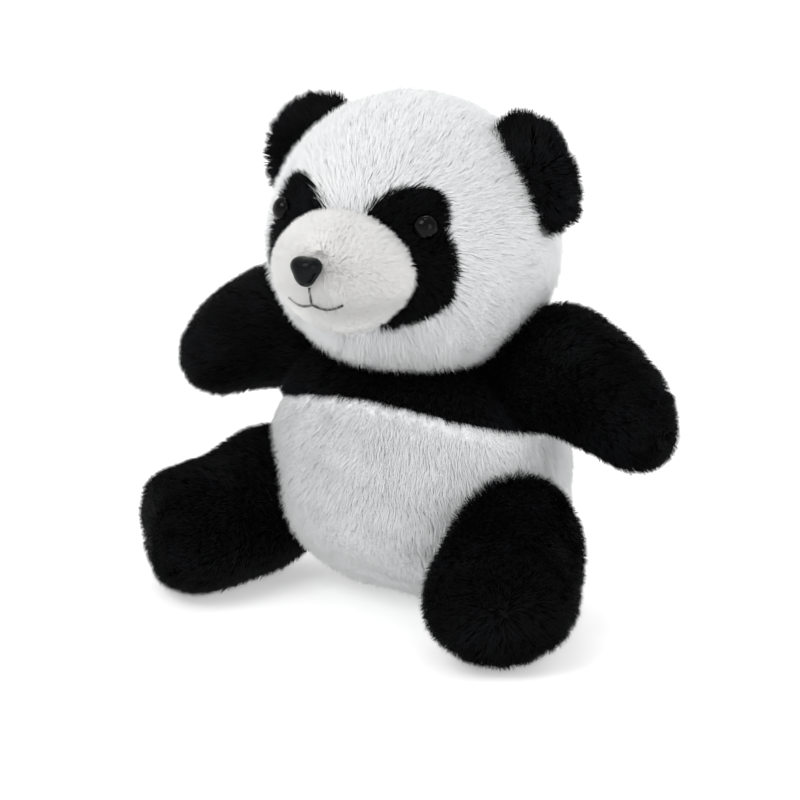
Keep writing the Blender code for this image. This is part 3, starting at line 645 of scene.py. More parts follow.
def inside_patch(points):
    """Distance inside the nearer patch's outline in mm, negative outside, for points in the frame.

    The distance is to the nearest edge. A point is inside where a line to its right crosses an
    odd number of edges.
    """
    local = to_head(points)
    flat = np.stack([np.abs(local[:, 0]), local[:, 2]], axis=-1)
    following = np.roll(patch_edge, -1, axis=0)
    run = following - patch_edge
    gap = flat[:, None] - patch_edge[None]
    share = np.clip((gap * run[None]).sum(axis=2) / (run ** 2).sum(axis=1)[None], 0.0, 1.0)
    distance = np.linalg.norm(gap - share[..., None] * run[None], axis=2).min(axis=1)
    above = (patch_edge[None, :, 1] > flat[:, None, 1]) != (following[None, :, 1] > flat[:, None, 1])
    crossing = patch_edge[:, 0] + (flat[:, None, 1] - patch_edge[None, :, 1]) * run[None, :, 0] / (
        np.where(np.abs(run[:, 1]) < 1e-9, 1e-9, run[:, 1])[None])
    inside = (above & (flat[:, None, 0] < crossing)).sum(axis=1) % 2 == 1
    behind = local[:, 1] >= 0.0
    return np.where(inside & ~behind, distance, -distance - behind * BEHIND_HEAD)


PATCH_THICK = 1.0


def patch_grid(side, lift):
    """Rings from the outline in to the middle, laid on the head's skin and lifted off it."""
    edge = patch_edge * np.array([side, 1.0])
    middle = edge.mean(axis=0)
    part = np.linspace(1.0, 0.03, 9)[:, None, None]
    flat = middle + (edge - middle) * part
    room = 1.0 - (flat[..., 0] / HEAD_SIZE[0]) ** 2 - (flat[..., 1] / HEAD_TOP) ** 2
    depth = HEAD_SIZE[1] * np.sqrt(np.clip(room, 0.05, 1.0))
    points = on_head(np.stack([flat[..., 0], -depth, flat[..., 1]], axis=-1))
    return points + head_normal(points) * (lift * (1.0 - part ** 6) + 0.2)


def patch_form(side):
    """A thin closed patch: its outer face and an inner face just under the head's skin."""
    outer = patch_grid(side, PATCH_THICK)
    inner = outer - head_normal(outer) * PATCH_THICK
    return head_place(np.concatenate([outer[::-1], inner]))


eye_patches = {}
for side, word in SIDES:
    eye_patches[word] = closed_form("eye_patch_skin_" + word, patch_form(side))
    place_piece(eye_patches[word], BLACK_CLOTH, ("eye_patch_" + word,), body="head")

# %% [markdown]
# ## Muzzle
# The muzzle is a small stuffed dome of cream fabric. Its pile is much shorter than the face's and
# turns away from the nose on all sides, so it looks smooth. An ellipsoid is close to the real
# shape once its lower half is drawn in towards the chin.

# %% Muzzle shape
MUZZLE_CENTRE = np.array([0.0, -51.0, -4.0])
MUZZLE_RADII = np.array([33.5, 28.0, 26.5])
NOSE_DIRECTION = unit(np.array([0.0, -1.0, 0.15]))
NOSE_CENTRE = MUZZLE_CENTRE + NOSE_DIRECTION / np.linalg.norm(NOSE_DIRECTION / MUZZLE_RADII)
MUZZLE_RISE = 1.9
MUZZLE_SEAM_DEPTH = 4.0
CHIN_NARROWING = 0.34


def muzzle_directions(rows, columns):
    """Directions on rings from straight ahead to behind."""
    opening = np.linspace(0.05, np.radians(125.0), rows)[:, None]
    turn = around(columns)[None, :]
    return np.stack([np.sin(opening) * np.cos(turn), -np.cos(opening) * np.ones_like(turn),
                     np.sin(opening) * np.sin(turn)], axis=-1)


def muzzle_surface(directions, lift=0.0):
    """The muzzle's skin in head axes: an ellipsoid that narrows towards the chin."""
    points = directions * (MUZZLE_RADII - MUZZLE_RISE + lift)
    points[..., 0] *= 1.0 - CHIN_NARROWING * np.clip(-directions[..., 2], 0.0, 1.0) ** 1.5
    return MUZZLE_CENTRE + points


muzzle_skin = closed_form("muzzle_skin", head_place(muzzle_surface(muzzle_directions(22, 44))))
muzzle_depth = to_head(coordinates(muzzle_skin.data))[:, 1] - MUZZLE_CENTRE[1]
fill(muzzle_skin, muzzle_depth > MUZZLE_SEAM_DEPTH, most=1.0)
place_piece(muzzle_skin, CREAM_CLOTH, ("muzzle_panel",), body="head")

# %% [markdown]
# ## Ears
# An ear is two half-ovals sewn back to back and barely stuffed, cupped forward, and sewn to the
# head along its inner edge. Its shaggy pile stands out past the rim.

# %% Ear shape
EAR_CENTRE = np.array([58.0, 5.0, 37.0])
EAR_HALF_LENGTH = 22.0
EAR_REACH = 14.5
EAR_INNER = 1.25
EAR_THICK = 5.0
EAR_CUP = 4.0
EAR_RISE = np.radians(30.0)
EAR_OUT = np.array([np.cos(EAR_RISE), 0.0, np.sin(EAR_RISE)])
EAR_ALONG = np.array([-np.sin(EAR_RISE), 0.0, np.cos(EAR_RISE)])
FORWARD = np.array([0.0, -1.0, 0.0])


def ear_grid(side):
    """Rings from the front's middle over the rim to the back's middle, cupped forward at the rim."""
    turn = around(48)[None, :, None]
    front_to_back = np.linspace(0.03, np.pi - 0.03, 19)[:, None, None]
    part = np.sin(front_to_back) ** 0.75
    out = np.sin(turn) * EAR_REACH * part
    along = np.cos(turn) * EAR_HALF_LENGTH * part
    out = np.where(out < 0.0, out * EAR_INNER, out)
    points = EAR_CENTRE + EAR_OUT * out + EAR_ALONG * along
    cup = EAR_CUP * np.clip(out / EAR_REACH, 0.0, 1.0) ** 2
    points = points + FORWARD * (np.cos(front_to_back) * EAR_THICK + cup)
    return head_place(points * mirrored(side))


ears = {}
for side, word in SIDES:
    body = "ear_" + word
    ears[word] = closed_form(body + "_skin", ear_grid(side))
    soften(ears[word])
    place_piece(ears[word], BLACK_CLOTH, (body + "_front", body + "_back"),
                body=body)

# %% [markdown]
# ## Torso
# The torso is a fat pear with a flat seat. Its top rises to meet the head on all sides and dips
# under it, as stuffed cloth does where a heavy head is sewn on. The black yoke is a panel of its
# own across the chest and shoulders, so the torso is made as two skins that meet at the seam.

# %% Torso shape
TORSO_WIDEST = 48.0
BELLY_SPREAD = 4.0
TORSO_CROWN = 118.0
LOWER_POWER = 1.8
SHOULDER_POWER = 3.1
BACK_BULGE = 5.0
BACKWARD_LEAN = 0.04
SEAT_REACH = 2.2
SIDE_SEAM = np.radians(86.0)
SIDE_SEAM_DEPTH = 7.5
SIDE_SEAM_WIDTH = 0.11
SIDE_SEAM_FADE = 8.0
FRONT_TUCK = 30.0
YOKE_Z = 87.0
YOKE_ARCH = 13.0
NECK_CLEARANCE = 1.5


def torso_surface(height, turn, shrink=PILE_RISE):
    """Superellipse rings that lean back, with a fuller back and a crease down each side seam.

    The rings' reach is (1 - h ** p) ** (1 / p), where h runs from 0 at the widest height to 1 at
    the crown or the seat. The crease is a Gaussian across the seam.
    """
    upper = height > TORSO_WIDEST
    reach_up = np.clip((height - TORSO_WIDEST) / (TORSO_CROWN - TORSO_WIDEST), 0.0, 1.0)
    reach_down = np.clip((TORSO_WIDEST - height) / (TORSO_WIDEST + SEAT_REACH), 0.0, 1.0)
    upper_reach = np.clip(1.0 - reach_up ** SHOULDER_POWER, 0.0, 1.0) ** (1.0 / SHOULDER_POWER)
    lower_reach = np.clip(1.0 - reach_down ** LOWER_POWER, 0.0, 1.0) ** (1.0 / LOWER_POWER)
    reach = np.where(upper, upper_reach, lower_reach)
    tuck = FRONT_TUCK * np.clip(np.cos(turn), 0.0, 1.0) ** 2 * reach_down ** 2
    deep = np.where(np.cos(turn) > 0.0, TORSO_DEPTH + BELLY_SPREAD - tuck, TORSO_DEPTH + BACK_BULGE)
    from_seam = np.arccos(np.clip(np.cos(turn), -1.0, 1.0)) - SIDE_SEAM
    below_yoke = np.clip((YOKE_Z - height) / SIDE_SEAM_FADE, 0.0, 1.0)
    shrink = shrink + SIDE_SEAM_DEPTH * np.exp(-(from_seam / SIDE_SEAM_WIDTH) ** 2) * below_yoke
    x = (TORSO_WIDTH + BELLY_SPREAD - shrink) * reach * np.sin(turn)
    lean = BACKWARD_LEAN * (height - TORSO_WIDEST)
    y = TORSO_MIDDLE_Y + lean - (deep - shrink) * reach * np.cos(turn)
    return np.stack([x, y, height], axis=-1)


def under_head(points):
    """Push points that are inside the head down to just below its underside."""
    local = to_head(points)
    radii = np.array([HEAD_SIZE[0], HEAD_SIZE[1], HEAD_BOTTOM]) - PILE_RISE + NECK_CLEARANCE
    room = np.clip(1.0 - (local[..., 0] / radii[0]) ** 2 - (local[..., 1] / radii[1]) ** 2, 0.0, 1.0)
    underside = -radii[2] * np.sqrt(room)
    over = (room > 0.0) & (local[..., 2] > underside)
    local[..., 2] = np.where(over, underside, local[..., 2])
    return head_place(local)


def yoke_height(turn):
    """Height of the seam under the yoke: arched upward at the front."""
    return YOKE_Z + YOKE_ARCH * np.clip(np.cos(turn), 0.0, 1.0) ** 2


def torso_rings(low, high, rows, columns=72):
    """Rings from one height to another, both of which may change on the way round."""
    turn = around(columns)[None, :] * np.ones((rows, 1))
    height = low(turn) + (high(turn) - low(turn)) * np.linspace(0.0, 1.0, rows)[:, None]
    return torso_surface(height, turn)


def lid(ring, *steps):
    """Copies of a ring that close it: each is drawn in to a share of its size and lowered by a drop."""
    middle = ring.mean(axis=0)
    return np.array([middle + (ring - middle) * share - UP * drop for share, drop in steps])


def skin_places(skin):
    """A skin's points and the angle of each round the torso, 0 straight ahead."""
    points = coordinates(skin.data)
    return points, np.arctan2(points[:, 0], TORSO_MIDDLE_Y - points[:, 1])


# %% Belly, back and seat
SEAT_Z = 1.2


def seat_height(turn):
    """The flat seat's height, the same all round."""
    return SEAT_Z + 0.0 * turn


belly_rings = torso_rings(seat_height, yoke_height, 26)
belly_top = torso_rings(yoke_height, yoke_height, 1)[0]
seat_lid = lid(belly_rings[0], (0.1, 0.0), (0.5, 0.0), (0.9, 0.0))
belly_lid = lid(belly_top, (0.96, 1.0), (0.6, 4.0), (0.2, 5.0))
belly_skin = closed_form("belly_skin", np.concatenate([seat_lid, belly_rings, belly_lid]))
belly_points, belly_turn = skin_places(belly_skin)
belly_seam = belly_points[:, 2] > yoke_height(belly_turn) - 1.5
belly_seam |= belly_points[:, 2] < SEAT_Z + 1.0
belly_seam |= np.abs(np.abs(belly_turn) - SIDE_SEAM) < 0.06
belly_seam |= np.abs(belly_turn) > np.pi - 0.03
fill(belly_skin, belly_seam, most=3.0)
place_piece(belly_skin, WHITE_CLOTH,
            ("belly_panel", "back_panel_left", "back_panel_right", "seat_panel"), body="torso")

# %% Yoke
CROWN_GAP = 0.15
YOKE_GAP = 0.6
NECK_SEAM_Z = 108.0


def yoke_bottom(turn):
    """The yoke's lower edge, a hair above the top of the belly."""
    return yoke_height(turn) + YOKE_GAP


def yoke_top(turn):
    """The yoke's upper end, the same all round."""
    return TORSO_CROWN - CROWN_GAP + 0.0 * turn


yoke_rings = torso_rings(yoke_bottom, yoke_top, 22)
yoke_lid = lid(yoke_rings[0], (0.2, -1.5), (0.6, -1.5), (0.95, -1.5))
yoke_skin = closed_form("yoke_skin", under_head(np.concatenate([yoke_lid, yoke_rings])))
yoke_points, yoke_turn = skin_places(yoke_skin)
yoke_seam = (yoke_points[:, 2] < yoke_height(yoke_turn) + 3.0) | (yoke_points[:, 2] > NECK_SEAM_Z)
fill(yoke_skin, yoke_seam, most=1.5)
place_piece(yoke_skin, BLACK_CLOTH, ("yoke_front", "yoke_back"), body="torso")

# %% [markdown]
# ## Arms and legs
# A limb is two panels sewn along its sides, so its section is an oval. Rings of that oval are
# carried along the limb from inside the torso to the paw. The sole of each foot is a third,
# flatter panel.

# %% Limb shapes
ARM_OUT = unit(np.array([1.0, -0.06, 0.0]))
ARM_ASIDE = np.array([0.0, -1.0, 0.0])
LEG_SPREAD = np.radians(36.0)
LEG_OUT = np.array([np.sin(LEG_SPREAD), -np.cos(LEG_SPREAD), 0.0])
LEG_ASIDE = np.array([np.cos(LEG_SPREAD), np.sin(LEG_SPREAD), 0.0])
# Each station: along the limb, sideways shift, half-width, half-height, lift.
ARM_STATIONS = [(-14.0, 0.0, 15.0, 17.0, 4.0), (-4.0, 0.0, 19.0, 23.0, 10.5), (8.0, 0.0, 20.0, 25.5, 15.0),
                (22.0, 0.0, 21.0, 26.5, 14.5), (37.0, 0.0, 21.0, 25.0, 9.0), (51.0, 0.0, 18.5, 21.5, 2.0),
                (60.0, 0.0, 14.0, 15.5, -2.0), (66.0, 0.0, 6.5, 7.5, -4.5)]
LEG_STATIONS = [(-20.0, 8.0, 14.0, 18.0, -4.0), (-8.0, 10.0, 21.5, 27.0, -2.5),
                (6.0, 8.0, 26.5, 31.5, -3.0), (19.0, 5.0, 28.0, 30.5, -5.5), (32.0, 0.5, 29.5, 28.0, -8.5),
                (45.0, -2.0, 30.0, 26.5, -9.5), (54.0, -3.0, 28.5, 24.0, -9.5),
                (59.0, -3.0, 24.5, 20.0, -9.5), (61.5, -3.0, 16.0, 13.0, -9.5)]
LIMB_ROWS, LIMB_COLUMNS = 34, 44
LIMB_FLOOR = 1.5
ROOT_REACH = 4.0
BEND_BEFORE, BEND_AFTER = 16.0, 18.0


class Limb:
    """An arm or a leg on one side: where it starts, which way it runs and how thick it is."""

    def __init__(self, body, side, stations, pivot, outward, aside):
        self.body = body
        self.mirror = mirrored(side)
        self.stations = stations
        self.pivot = pivot
        self.outward = outward
        self.aside = aside

    def middle(self, along, shift, lift):
        """Middle of the limb = pivot + outward * along + aside * shift + up * lift."""
        return self.pivot + self.outward * along + self.aside * shift + UP * lift

    def grid(self, stations, rows, columns, floor):
        """Oval rings round the limb's middle, flattened where they would go below the floor."""
        curve = smooth_curve(stations, rows)
        along, shift, wide, high, lift = (column[:, None, None] for column in curve.T)
        turn = around(columns)[None, :, None]
        rings = self.middle(along, shift, lift) + self.aside * wide * np.cos(turn) + UP * high * np.sin(turn)
        rings[..., 2] = np.maximum(rings[..., 2], floor)
        return rings * self.mirror

    def sew(self, *panels):
        """Make the filled skin, its two long seams and its root held."""
        grid = self.grid(self.stations, LIMB_ROWS, LIMB_COLUMNS, LIMB_FLOOR)
        self.skin = closed_form(self.body + "_skin", grid)
        points = coordinates(self.skin.data)
        column = np.arange(len(points)) % LIMB_COLUMNS
        held = (column == 0) | (column == LIMB_COLUMNS // 2)
        held |= ((points * self.mirror - self.pivot) @ self.outward) < ROOT_REACH
        held |= points[:, 2] < LIMB_FLOOR + 0.5
        fill(self.skin, held, most=2.0)
        nodes = [self.body + "_" + panel for panel in panels]
        place_piece(self.skin, BLACK_CLOTH, nodes)

    def bend(self, piece):
        """Work out the span from the torso to the limb over the joint, and bake a piece's place into its
        points.
        """
        start = (self.pivot - self.outward * BEND_BEFORE) * self.mirror * MM
        end = (self.pivot + self.outward * BEND_AFTER) * self.mirror * MM
        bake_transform(piece)


LIMBS = {}
for side, word in SIDES:
    arm = Limb("arm_" + word, side, ARM_STATIONS, SHOULDER, ARM_OUT, ARM_ASIDE)
    arm.sew("front", "back")
    leg = Limb("leg_" + word, side, LEG_STATIONS, HIP, LEG_OUT, LEG_ASIDE)
    leg.sew("outer", "inner", "sole")
    LIMBS[arm.body], LIMBS[leg.body] = arm, leg

# %% [markdown]
# ## The pile of every part
# Pile is brushed: away from the nose over the face, down the belly, out along the limbs and out
# to the rim of each ear. Each part names its own direction field, length and number of fibres.

# %% Brushing directions
FACE_DROOP = 0.55
DROOP_FADE = 60.0
PAW_SPREAD = 0.8
BELLY_FAN = 0.006
EAR_ROOT = 14.0
COVER_REACH = 10.5


def from_nose(points):
    """Away from the muzzle and a little downward, but back over the crown."""
    local = to_head(points)
    away = unit(local - MUZZLE_CENTRE)
    down = np.array([0.0, 0.0, -FACE_DROOP]) * np.clip(0.8 - local[:, 2:] / DROOP_FADE, 0.0, 1.6)
    return away + down


def along_limb(limb, droop):
    """Out along a limb and a little downward, turning away from the middle over the paw's end."""
    along, shift, wide, high, lift = limb.stations[-1]
    paw = limb.middle(along, shift, lift) * limb.mirror
    direction = limb.outward * limb.mirror

    def brushed(points):
        spread = points - paw
        spread = unit(spread - direction * (spread @ direction)[:, None])
        return direction - UP * droop + PAW_SPREAD * spread
    return brushed


def down_body(points):
    """Down the torso, leaning away from the middle of the belly."""
    return np.stack([points[:, 0] * BELLY_FAN, np.zeros(len(points)), -np.ones(len(points))], axis=-1)


def out_of_ear(side):
    """From the ear's root out to its rim."""
    root = head_place((EAR_CENTRE - EAR_OUT * EAR_ROOT) * mirrored(side))
    return lambda points: points - root


def over_nose(points):
    """Away from the nose over the muzzle, but down over the nose's upper edge just above it."""
    gap = to_head(points) - NOSE_CENTRE
    away = unit(gap) - 0.2 * UP
    above = np.clip((COVER_REACH - np.linalg.norm(gap, axis=1)) / 2.0, 0.0, 1.0) * (gap[:, 2] > 2.0)
    return away * (1.0 - above[:, None]) - UP * above[:, None]


def round_eye(side):
    """Away from the nose over the patch, but towards the eye just below it, to cover its rim."""
    eye = head_place(on_head(EYE_PLACE * mirrored(side)))

    def brushed(points):
        gap = eye - points
        near = np.clip((COVER_REACH - np.linalg.norm(gap, axis=1)) / 3.0, 0.0, 1.0)
        near = (near * np.clip(0.4 + gap[:, 2] / 6.0, 0.0, 1.0))[:, None]
        return from_nose(points) * (1.0 - near) + 2.0 * unit(gap) * near
    return brushed


# %% Where the pile grows
FACE_TO_PATCH, FACE_TO_MUZZLE, FACE_TO_NECK = 1.6, 2.0, 4.0
PATCH_TO_FACE, PATCH_TO_MUZZLE = 0.8, 0.6
HEAD_MEAN_RADIUS = 60.0
FACE_LENGTH, CHIN_EXTRA = 8.5, 3.5


def muzzle_distance(points):
    """How far points are outside the muzzle's surface, roughly in mm."""
    local = (to_head(points) - MUZZLE_CENTRE) / MUZZLE_RADII
    local[:, 0] /= 1.0 - CHIN_NARROWING * np.clip(-local[:, 2], 0.0, 1.0) ** 1.5
    return (np.linalg.norm(local, axis=1) - 1.0) * MUZZLE_RADII.mean()


def on_face(points):
    """Head fibres: outside the patches, outside the muzzle and above the neck."""
    off_patch = FACE_TO_PATCH - inside_patch(points)
    off_muzzle = muzzle_distance(points) + FACE_TO_MUZZLE
    return np.minimum.reduce([off_patch, off_muzzle, points[:, 2] - NECK[2] - FACE_TO_NECK])


def in_patch(points):
    """Patch fibres: inside the outline and outside the muzzle."""
    return np.minimum(inside_patch(points) + PATCH_TO_FACE, muzzle_distance(points) + PATCH_TO_MUZZLE)


def on_muzzle_front(points):
    """Muzzle fibres: only on the part that stands out of the head."""
    local = to_head(points)
    return (np.linalg.norm(local / head_radii(local, PILE_RISE), axis=1) - 1.0) * HEAD_MEAN_RADIUS


def head_length(points):
    """Longer at the lower edge, where the face pile hangs over the chest."""
    local = to_head(points)
    return FACE_LENGTH + CHIN_EXTRA * np.clip(-local[:, 2] / HEAD_BOTTOM, 0.0, 1.0) ** 2


# %% Head pile
def cover(name, skin, finish, slot, body, *growth, **habits):
    """Grow a pile and give it the body it rides on."""
    pile = grow_pile(name, skin, finish, *growth, **habits)
    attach(pile, body)


def front_half(points):
    """Positive on the half of the head that faces forward."""
    return HEAD_CENTRE[1] + 4.0 - points[:, 1]


def face_front(points):
    """Head fibres of the face."""
    return np.minimum(on_face(points), front_half(points))


def head_rear(points):
    """Head fibres of the back of the head."""
    return np.minimum(on_face(points), -front_half(points))


# After the slot and the body come the number of fibres, their length, their brushing and a seed.
cover("face_pile", head_skin, WHITE_PILE, "white_pile", "head", 48000, head_length, from_nose, 11,
      where=face_front)
cover("head_back_pile", head_skin, WHITE_PILE, "white_pile", "head", 38000, head_length, from_nose, 12,
      where=head_rear)
cover("muzzle_pile", muzzle_skin, CREAM_PILE, "cream_pile", "head", 42000, 4.8, over_nose, 13,
      where=on_muzzle_front, rise=(56.0, 30.0), width=0.38, tuft=3.0, cling=0.16, ruffle=0.35)
for number, (side, word) in enumerate(SIDES):
    cover("eye_patch_pile_" + word, eye_patches[word], BLACK_PILE, "black_pile", "head",
          12000, 7.0, round_eye(side), 21 + number, where=in_patch, width=0.45, tuft=3.5)
    cover("ear_" + word + "_pile", ears[word], BLACK_PILE, "black_pile", "ear_" + word,
          11000, 10.0, out_of_ear(side), 31 + number,
          rise=(50.0, 34.0), width=0.42, tuft=3.6, cling=0.36, bent=True)

# %% Body pile
SEAM_OVERLAP = 0.8
INSIDE_LIMIT = 4.0
BODY_LENGTH = 8.0
SHORT_BAND, SHORT_SHARE = 9.0, 0.3
LID_Z, LID_MARGIN = 100.0, 14.0


def ring_turn(points):
    """The angle that places points on the torso's oval rings."""
    return np.arctan2(points[:, 0] / TORSO_WIDTH, (TORSO_MIDDLE_Y - points[:, 1]) / TORSO_DEPTH)


def on_torso_side(points, seam_side):
    """Positive on the torso's outside, on one side of the yoke seam: -1 is the belly, 1 the yoke.

    The black pile starts a little below the seam and the white pile ends a little below it.
    """
    turn = ring_turn(points)
    expected = torso_surface(points[:, 2], turn) - np.array([0.0, TORSO_MIDDLE_Y, 0.0])
    actual = points - np.array([0.0, TORSO_MIDDLE_Y, 0.0])
    inside = np.hypot(expected[:, 0], expected[:, 1]) - np.hypot(actual[:, 0], actual[:, 1])
    past_seam = (points[:, 2] - yoke_height(turn)) * seam_side
    return np.minimum(INSIDE_LIMIT - inside, past_seam + SEAM_OVERLAP * seam_side)


def torso_length(points):
    """Full length low down, but short just under the yoke, so that no fibre stands up over its seam."""
    below_seam = yoke_height(ring_turn(points)) - points[:, 2]
    return BODY_LENGTH * np.clip(below_seam / SHORT_BAND, SHORT_SHARE, 1.0)


def belly_front(points):
    """Torso fibres of the belly."""
    return np.minimum(on_torso_side(points, -1.0), TORSO_MIDDLE_Y - points[:, 1])


def belly_rear(points):
    """Torso fibres of the back."""
    return np.minimum(on_torso_side(points, -1.0), points[:, 1] - TORSO_MIDDLE_Y)


def on_yoke(points):
    """The whole yoke but its lower lid, which is inside the torso."""
    return on_torso_side(points, 1.0) + LID_MARGIN * (points[:, 2] > LID_Z)


cover("belly_pile", belly_skin, WHITE_PILE, "white_pile", "torso", 42000, torso_length, down_body, 41,
      where=belly_front)
cover("back_pile", belly_skin, WHITE_PILE, "white_pile", "torso", 33000, torso_length, down_body, 42,
      where=belly_rear)
cover("yoke_pile", yoke_skin, BLACK_PILE, "black_pile", "torso", 30000, 7.5, down_body, 43, where=on_yoke)

# %% Limb pile
ARM_DROOP, LEG_DROOP = 0.25, 0.1
for number, limb in enumerate(LIMBS.values()):
    brushing = along_limb(limb, ARM_DROOP if limb.pivot is SHOULDER else LEG_DROOP)
    pile = grow_pile(limb.body + "_pile", limb.skin, BLACK_PILE, 37000, 8.0, brushing, 51 + number)
    limb.bend(limb.skin)
    limb.bend(pile)

# %% [markdown]
# ## Eyes, nose and mouth
# Safety eyes are polished domes with a shallow rim, pushed through the cloth. The nose is a
# rounded triangle with a satin surface. The mouth is stitched with thick black thread.

# %% Hard finishes
def moulded_finish(name, colour, light, roughness, shine):
    """Moulded plastic: a slow change of shade and faint handling marks in its roughness."""
    finish = Finish(name, Specular_IOR_Level=shine, IOR=1.5)
    cloudy = finish.noise(140.0)
    fine = finish.noise(1400.0, detail=2.0)
    return finish.feed(Base_Color=finish.blend(cloudy, colour, light), Roughness=fine * 0.06 + roughness,
                       Normal=finish.bump(fine, 0.04, 0.0002))


def thread_finish(name, dark, light):
    """Twisted embroidery thread: fine fibres that catch a little light."""
    finish = Finish(name, Specular_IOR_Level=0.3, Sheen_Weight=0.3)
    fibres = finish.noise(2600.0, detail=2.0)
    return finish.feed(Base_Color=finish.blend(fibres, dark, light), Roughness=fibres * 0.2 + 0.55,
                       Normal=finish.bump(fibres, 0.4, 0.0003))


EYE_PLASTIC = moulded_finish("eye plastic", (0.0002, 0.0002, 0.0002), (0.0006, 0.0006, 0.0006), 0.04, 0.13)
NOSE_PLASTIC = moulded_finish("nose plastic", (0.001, 0.0013, 0.0016), (0.002, 0.0026, 0.0032), 0.24, 0.12)
BLACK_THREAD = thread_finish("black thread", (0.006, 0.006, 0.006), (0.022, 0.021, 0.020))
print("hard finishes:", EYE_PLASTIC.name, NOSE_PLASTIC.name, BLACK_THREAD.name, sep="  ")

# %% Eyes
EYE_PROFILE = smooth_curve([(0.1, 3.4), (2.0, 3.1), (3.7, 2.2), (4.9, 0.8), (5.4, -0.6), (5.3, -1.6),
                            (4.4, -2.4), (2.4, -2.8), (2.0, -4.5)], 33)


def turned(profile, centre, normal, columns):
    """A profile of (radius, height) turned about a normal through a centre."""
    sideways = unit(np.cross(UP, normal))
    upward = np.cross(normal, sideways)
    turn = around(columns)[None, :, None]
    radius, height = profile[:, :1, None], profile[:, 1:, None]
    return centre + normal * height + radius * (np.cos(turn) * sideways + np.sin(turn) * upward)


for side, word in SIDES:
    place = on_head(EYE_PLACE * mirrored(side), 0.0)
    eye = closed_form("eye_dome_" + word, head_place(turned(EYE_PROFILE, place, head_normal(place), 48)))
    place_piece(eye, EYE_PLASTIC, ("eye_" + word,), body="head")

# %% Nose
NOSE_HALF_WIDTH = 6.9
NOSE_HALF_HEIGHT = 6.3
NOSE_DOME = 6.4
NOSE_BACK = 2.0
NOSE_LIFT = 2.2
NOSE_CORNER = 0.13
NOSE_ROUNDNESS = 0.8


def nose_grid():
    """Rings of a rounded triangle, wide on top, that shrink towards the tip of a dome and the back.

    The triangle is a circle whose radius is 1 + corner * cos(3 * turn), with one corner down.
    """
    turn = around(56)[None, :, None]
    down = np.linspace(0.05, np.pi - 0.05, 25)[:, None, None]
    corner = 1.0 + NOSE_CORNER * np.cos(3.0 * (turn + np.pi / 2.0))
    across = NOSE_HALF_WIDTH * corner * np.cos(turn) * np.sin(down) ** NOSE_ROUNDNESS
    rise = NOSE_HALF_HEIGHT * corner * np.sin(turn) * np.sin(down) ** NOSE_ROUNDNESS
    out = np.where(np.cos(down) > 0.0, NOSE_DOME, NOSE_BACK) * np.cos(down) + NOSE_LIFT
    upward = np.array([0.0, NOSE_DIRECTION[2], -NOSE_DIRECTION[1]])
    return NOSE_CENTRE + np.array([1.0, 0.0, 0.0]) * across + upward * rise + NOSE_DIRECTION * out


nose = closed_form("nose_button", head_place(nose_grid()))
place_piece(nose, NOSE_PLASTIC, ("nose",), body="head")

# %% Mouth
THREAD_RADIUS = 0.55
THREAD_TWIST = 2.2


def thread_along(path):
    """A two-ply thread: rings round a path whose radius swells twice a turn, twisted along the way."""
    tangent = unit(np.gradient(path, axis=0))
    sideways = unit(np.cross(tangent, NOSE_DIRECTION))
    upward = np.cross(sideways, tangent)
    turn = around(12)[None, :, None]
    steps = np.linalg.norm(np.diff(path, axis=0), axis=1)
    length = np.concatenate([[0.0], np.cumsum(steps)])[:, None, None]
    radius = THREAD_RADIUS * (1.0 + 0.22 * np.cos(2.0 * (turn - length * THREAD_TWIST)))
    return path[:, None] + radius * (np.cos(turn) * sideways[:, None] + np.sin(turn) * upward[:, None])


def over_muzzle(sideways, rise, lift):
    """Points over the muzzle in the direction (sideways, -1, rise)."""
    directions = unit(np.stack([sideways, -np.ones_like(sideways), rise], axis=-1))
    stretch = np.linalg.norm(directions / MUZZLE_RADII, axis=1, keepdims=True)
    return muzzle_surface(directions / stretch / MUZZLE_RADII, lift)


STITCH_LIFT = MUZZLE_RISE + 0.3
SMILE_HALF_WIDTH = 0.64
SMILE_RISE = -0.42
SMILE_DIP = 0.085
step = np.linspace(0.0, 1.0, 60)
philtrum = over_muzzle(0.0 * step, -0.12 - 0.31 * step, STITCH_LIFT)
smile_side = np.linspace(-1.0, 1.0, 120)
smile_rise = SMILE_RISE - SMILE_DIP * np.sin(np.pi * np.abs(smile_side))
smile = over_muzzle(SMILE_HALF_WIDTH * smile_side, smile_rise, STITCH_LIFT)
for word, path in (("philtrum", philtrum), ("mouth", smile)):
    stitch = closed_form(word + "_stitch", head_place(thread_along(path)))
    place_piece(stitch, BLACK_THREAD, (word + "_thread",), body="head")

# %% [markdown]
# ## What stays hidden
# The stuffing, the washers that lock the eyes and nose, and the closing thread are inside the
# toy or under its pile. Each but the neck's stuffing is made again to fit the skins above: the
# stuffing and washers a few millimetres in, the closing thread just under the pile.

# %% Inner finishes
def stuffing_finish():
    """Loose polyester fibre: soft clouds of white."""
    finish = Finish("fibre stuffing", Roughness=1.0, Specular_IOR_Level=0.1, Sheen_Weight=0.3)
    clouds = finish.noise(120.0, detail=5.0)
    return finish.feed(Base_Color=finish.blend(clouds, (0.74, 0.74, 0.73), (0.92, 0.92, 0.90)),
                       Normal=finish.bump(clouds, 0.6, 0.001))


STUFFING = stuffing_finish()
WASHER = moulded_finish("washer plastic", (0.70, 0.70, 0.68), (0.82, 0.82, 0.80), 0.5, 0.4)
WHITE_THREAD = thread_finish("white thread", (0.70, 0.70, 0.70), (0.90, 0.90, 0.88))
neck_stuffing = frame["nodes"]["neck_stuffing"]
neck_stuffing.data.materials.clear()
neck_stuffing.data.materials.append(STUFFING)
print(neck_stuffing.name, "keeps its packed shape and gets", STUFFING.name)

# %% Stuffing
STUFFING_GAP = 3.5


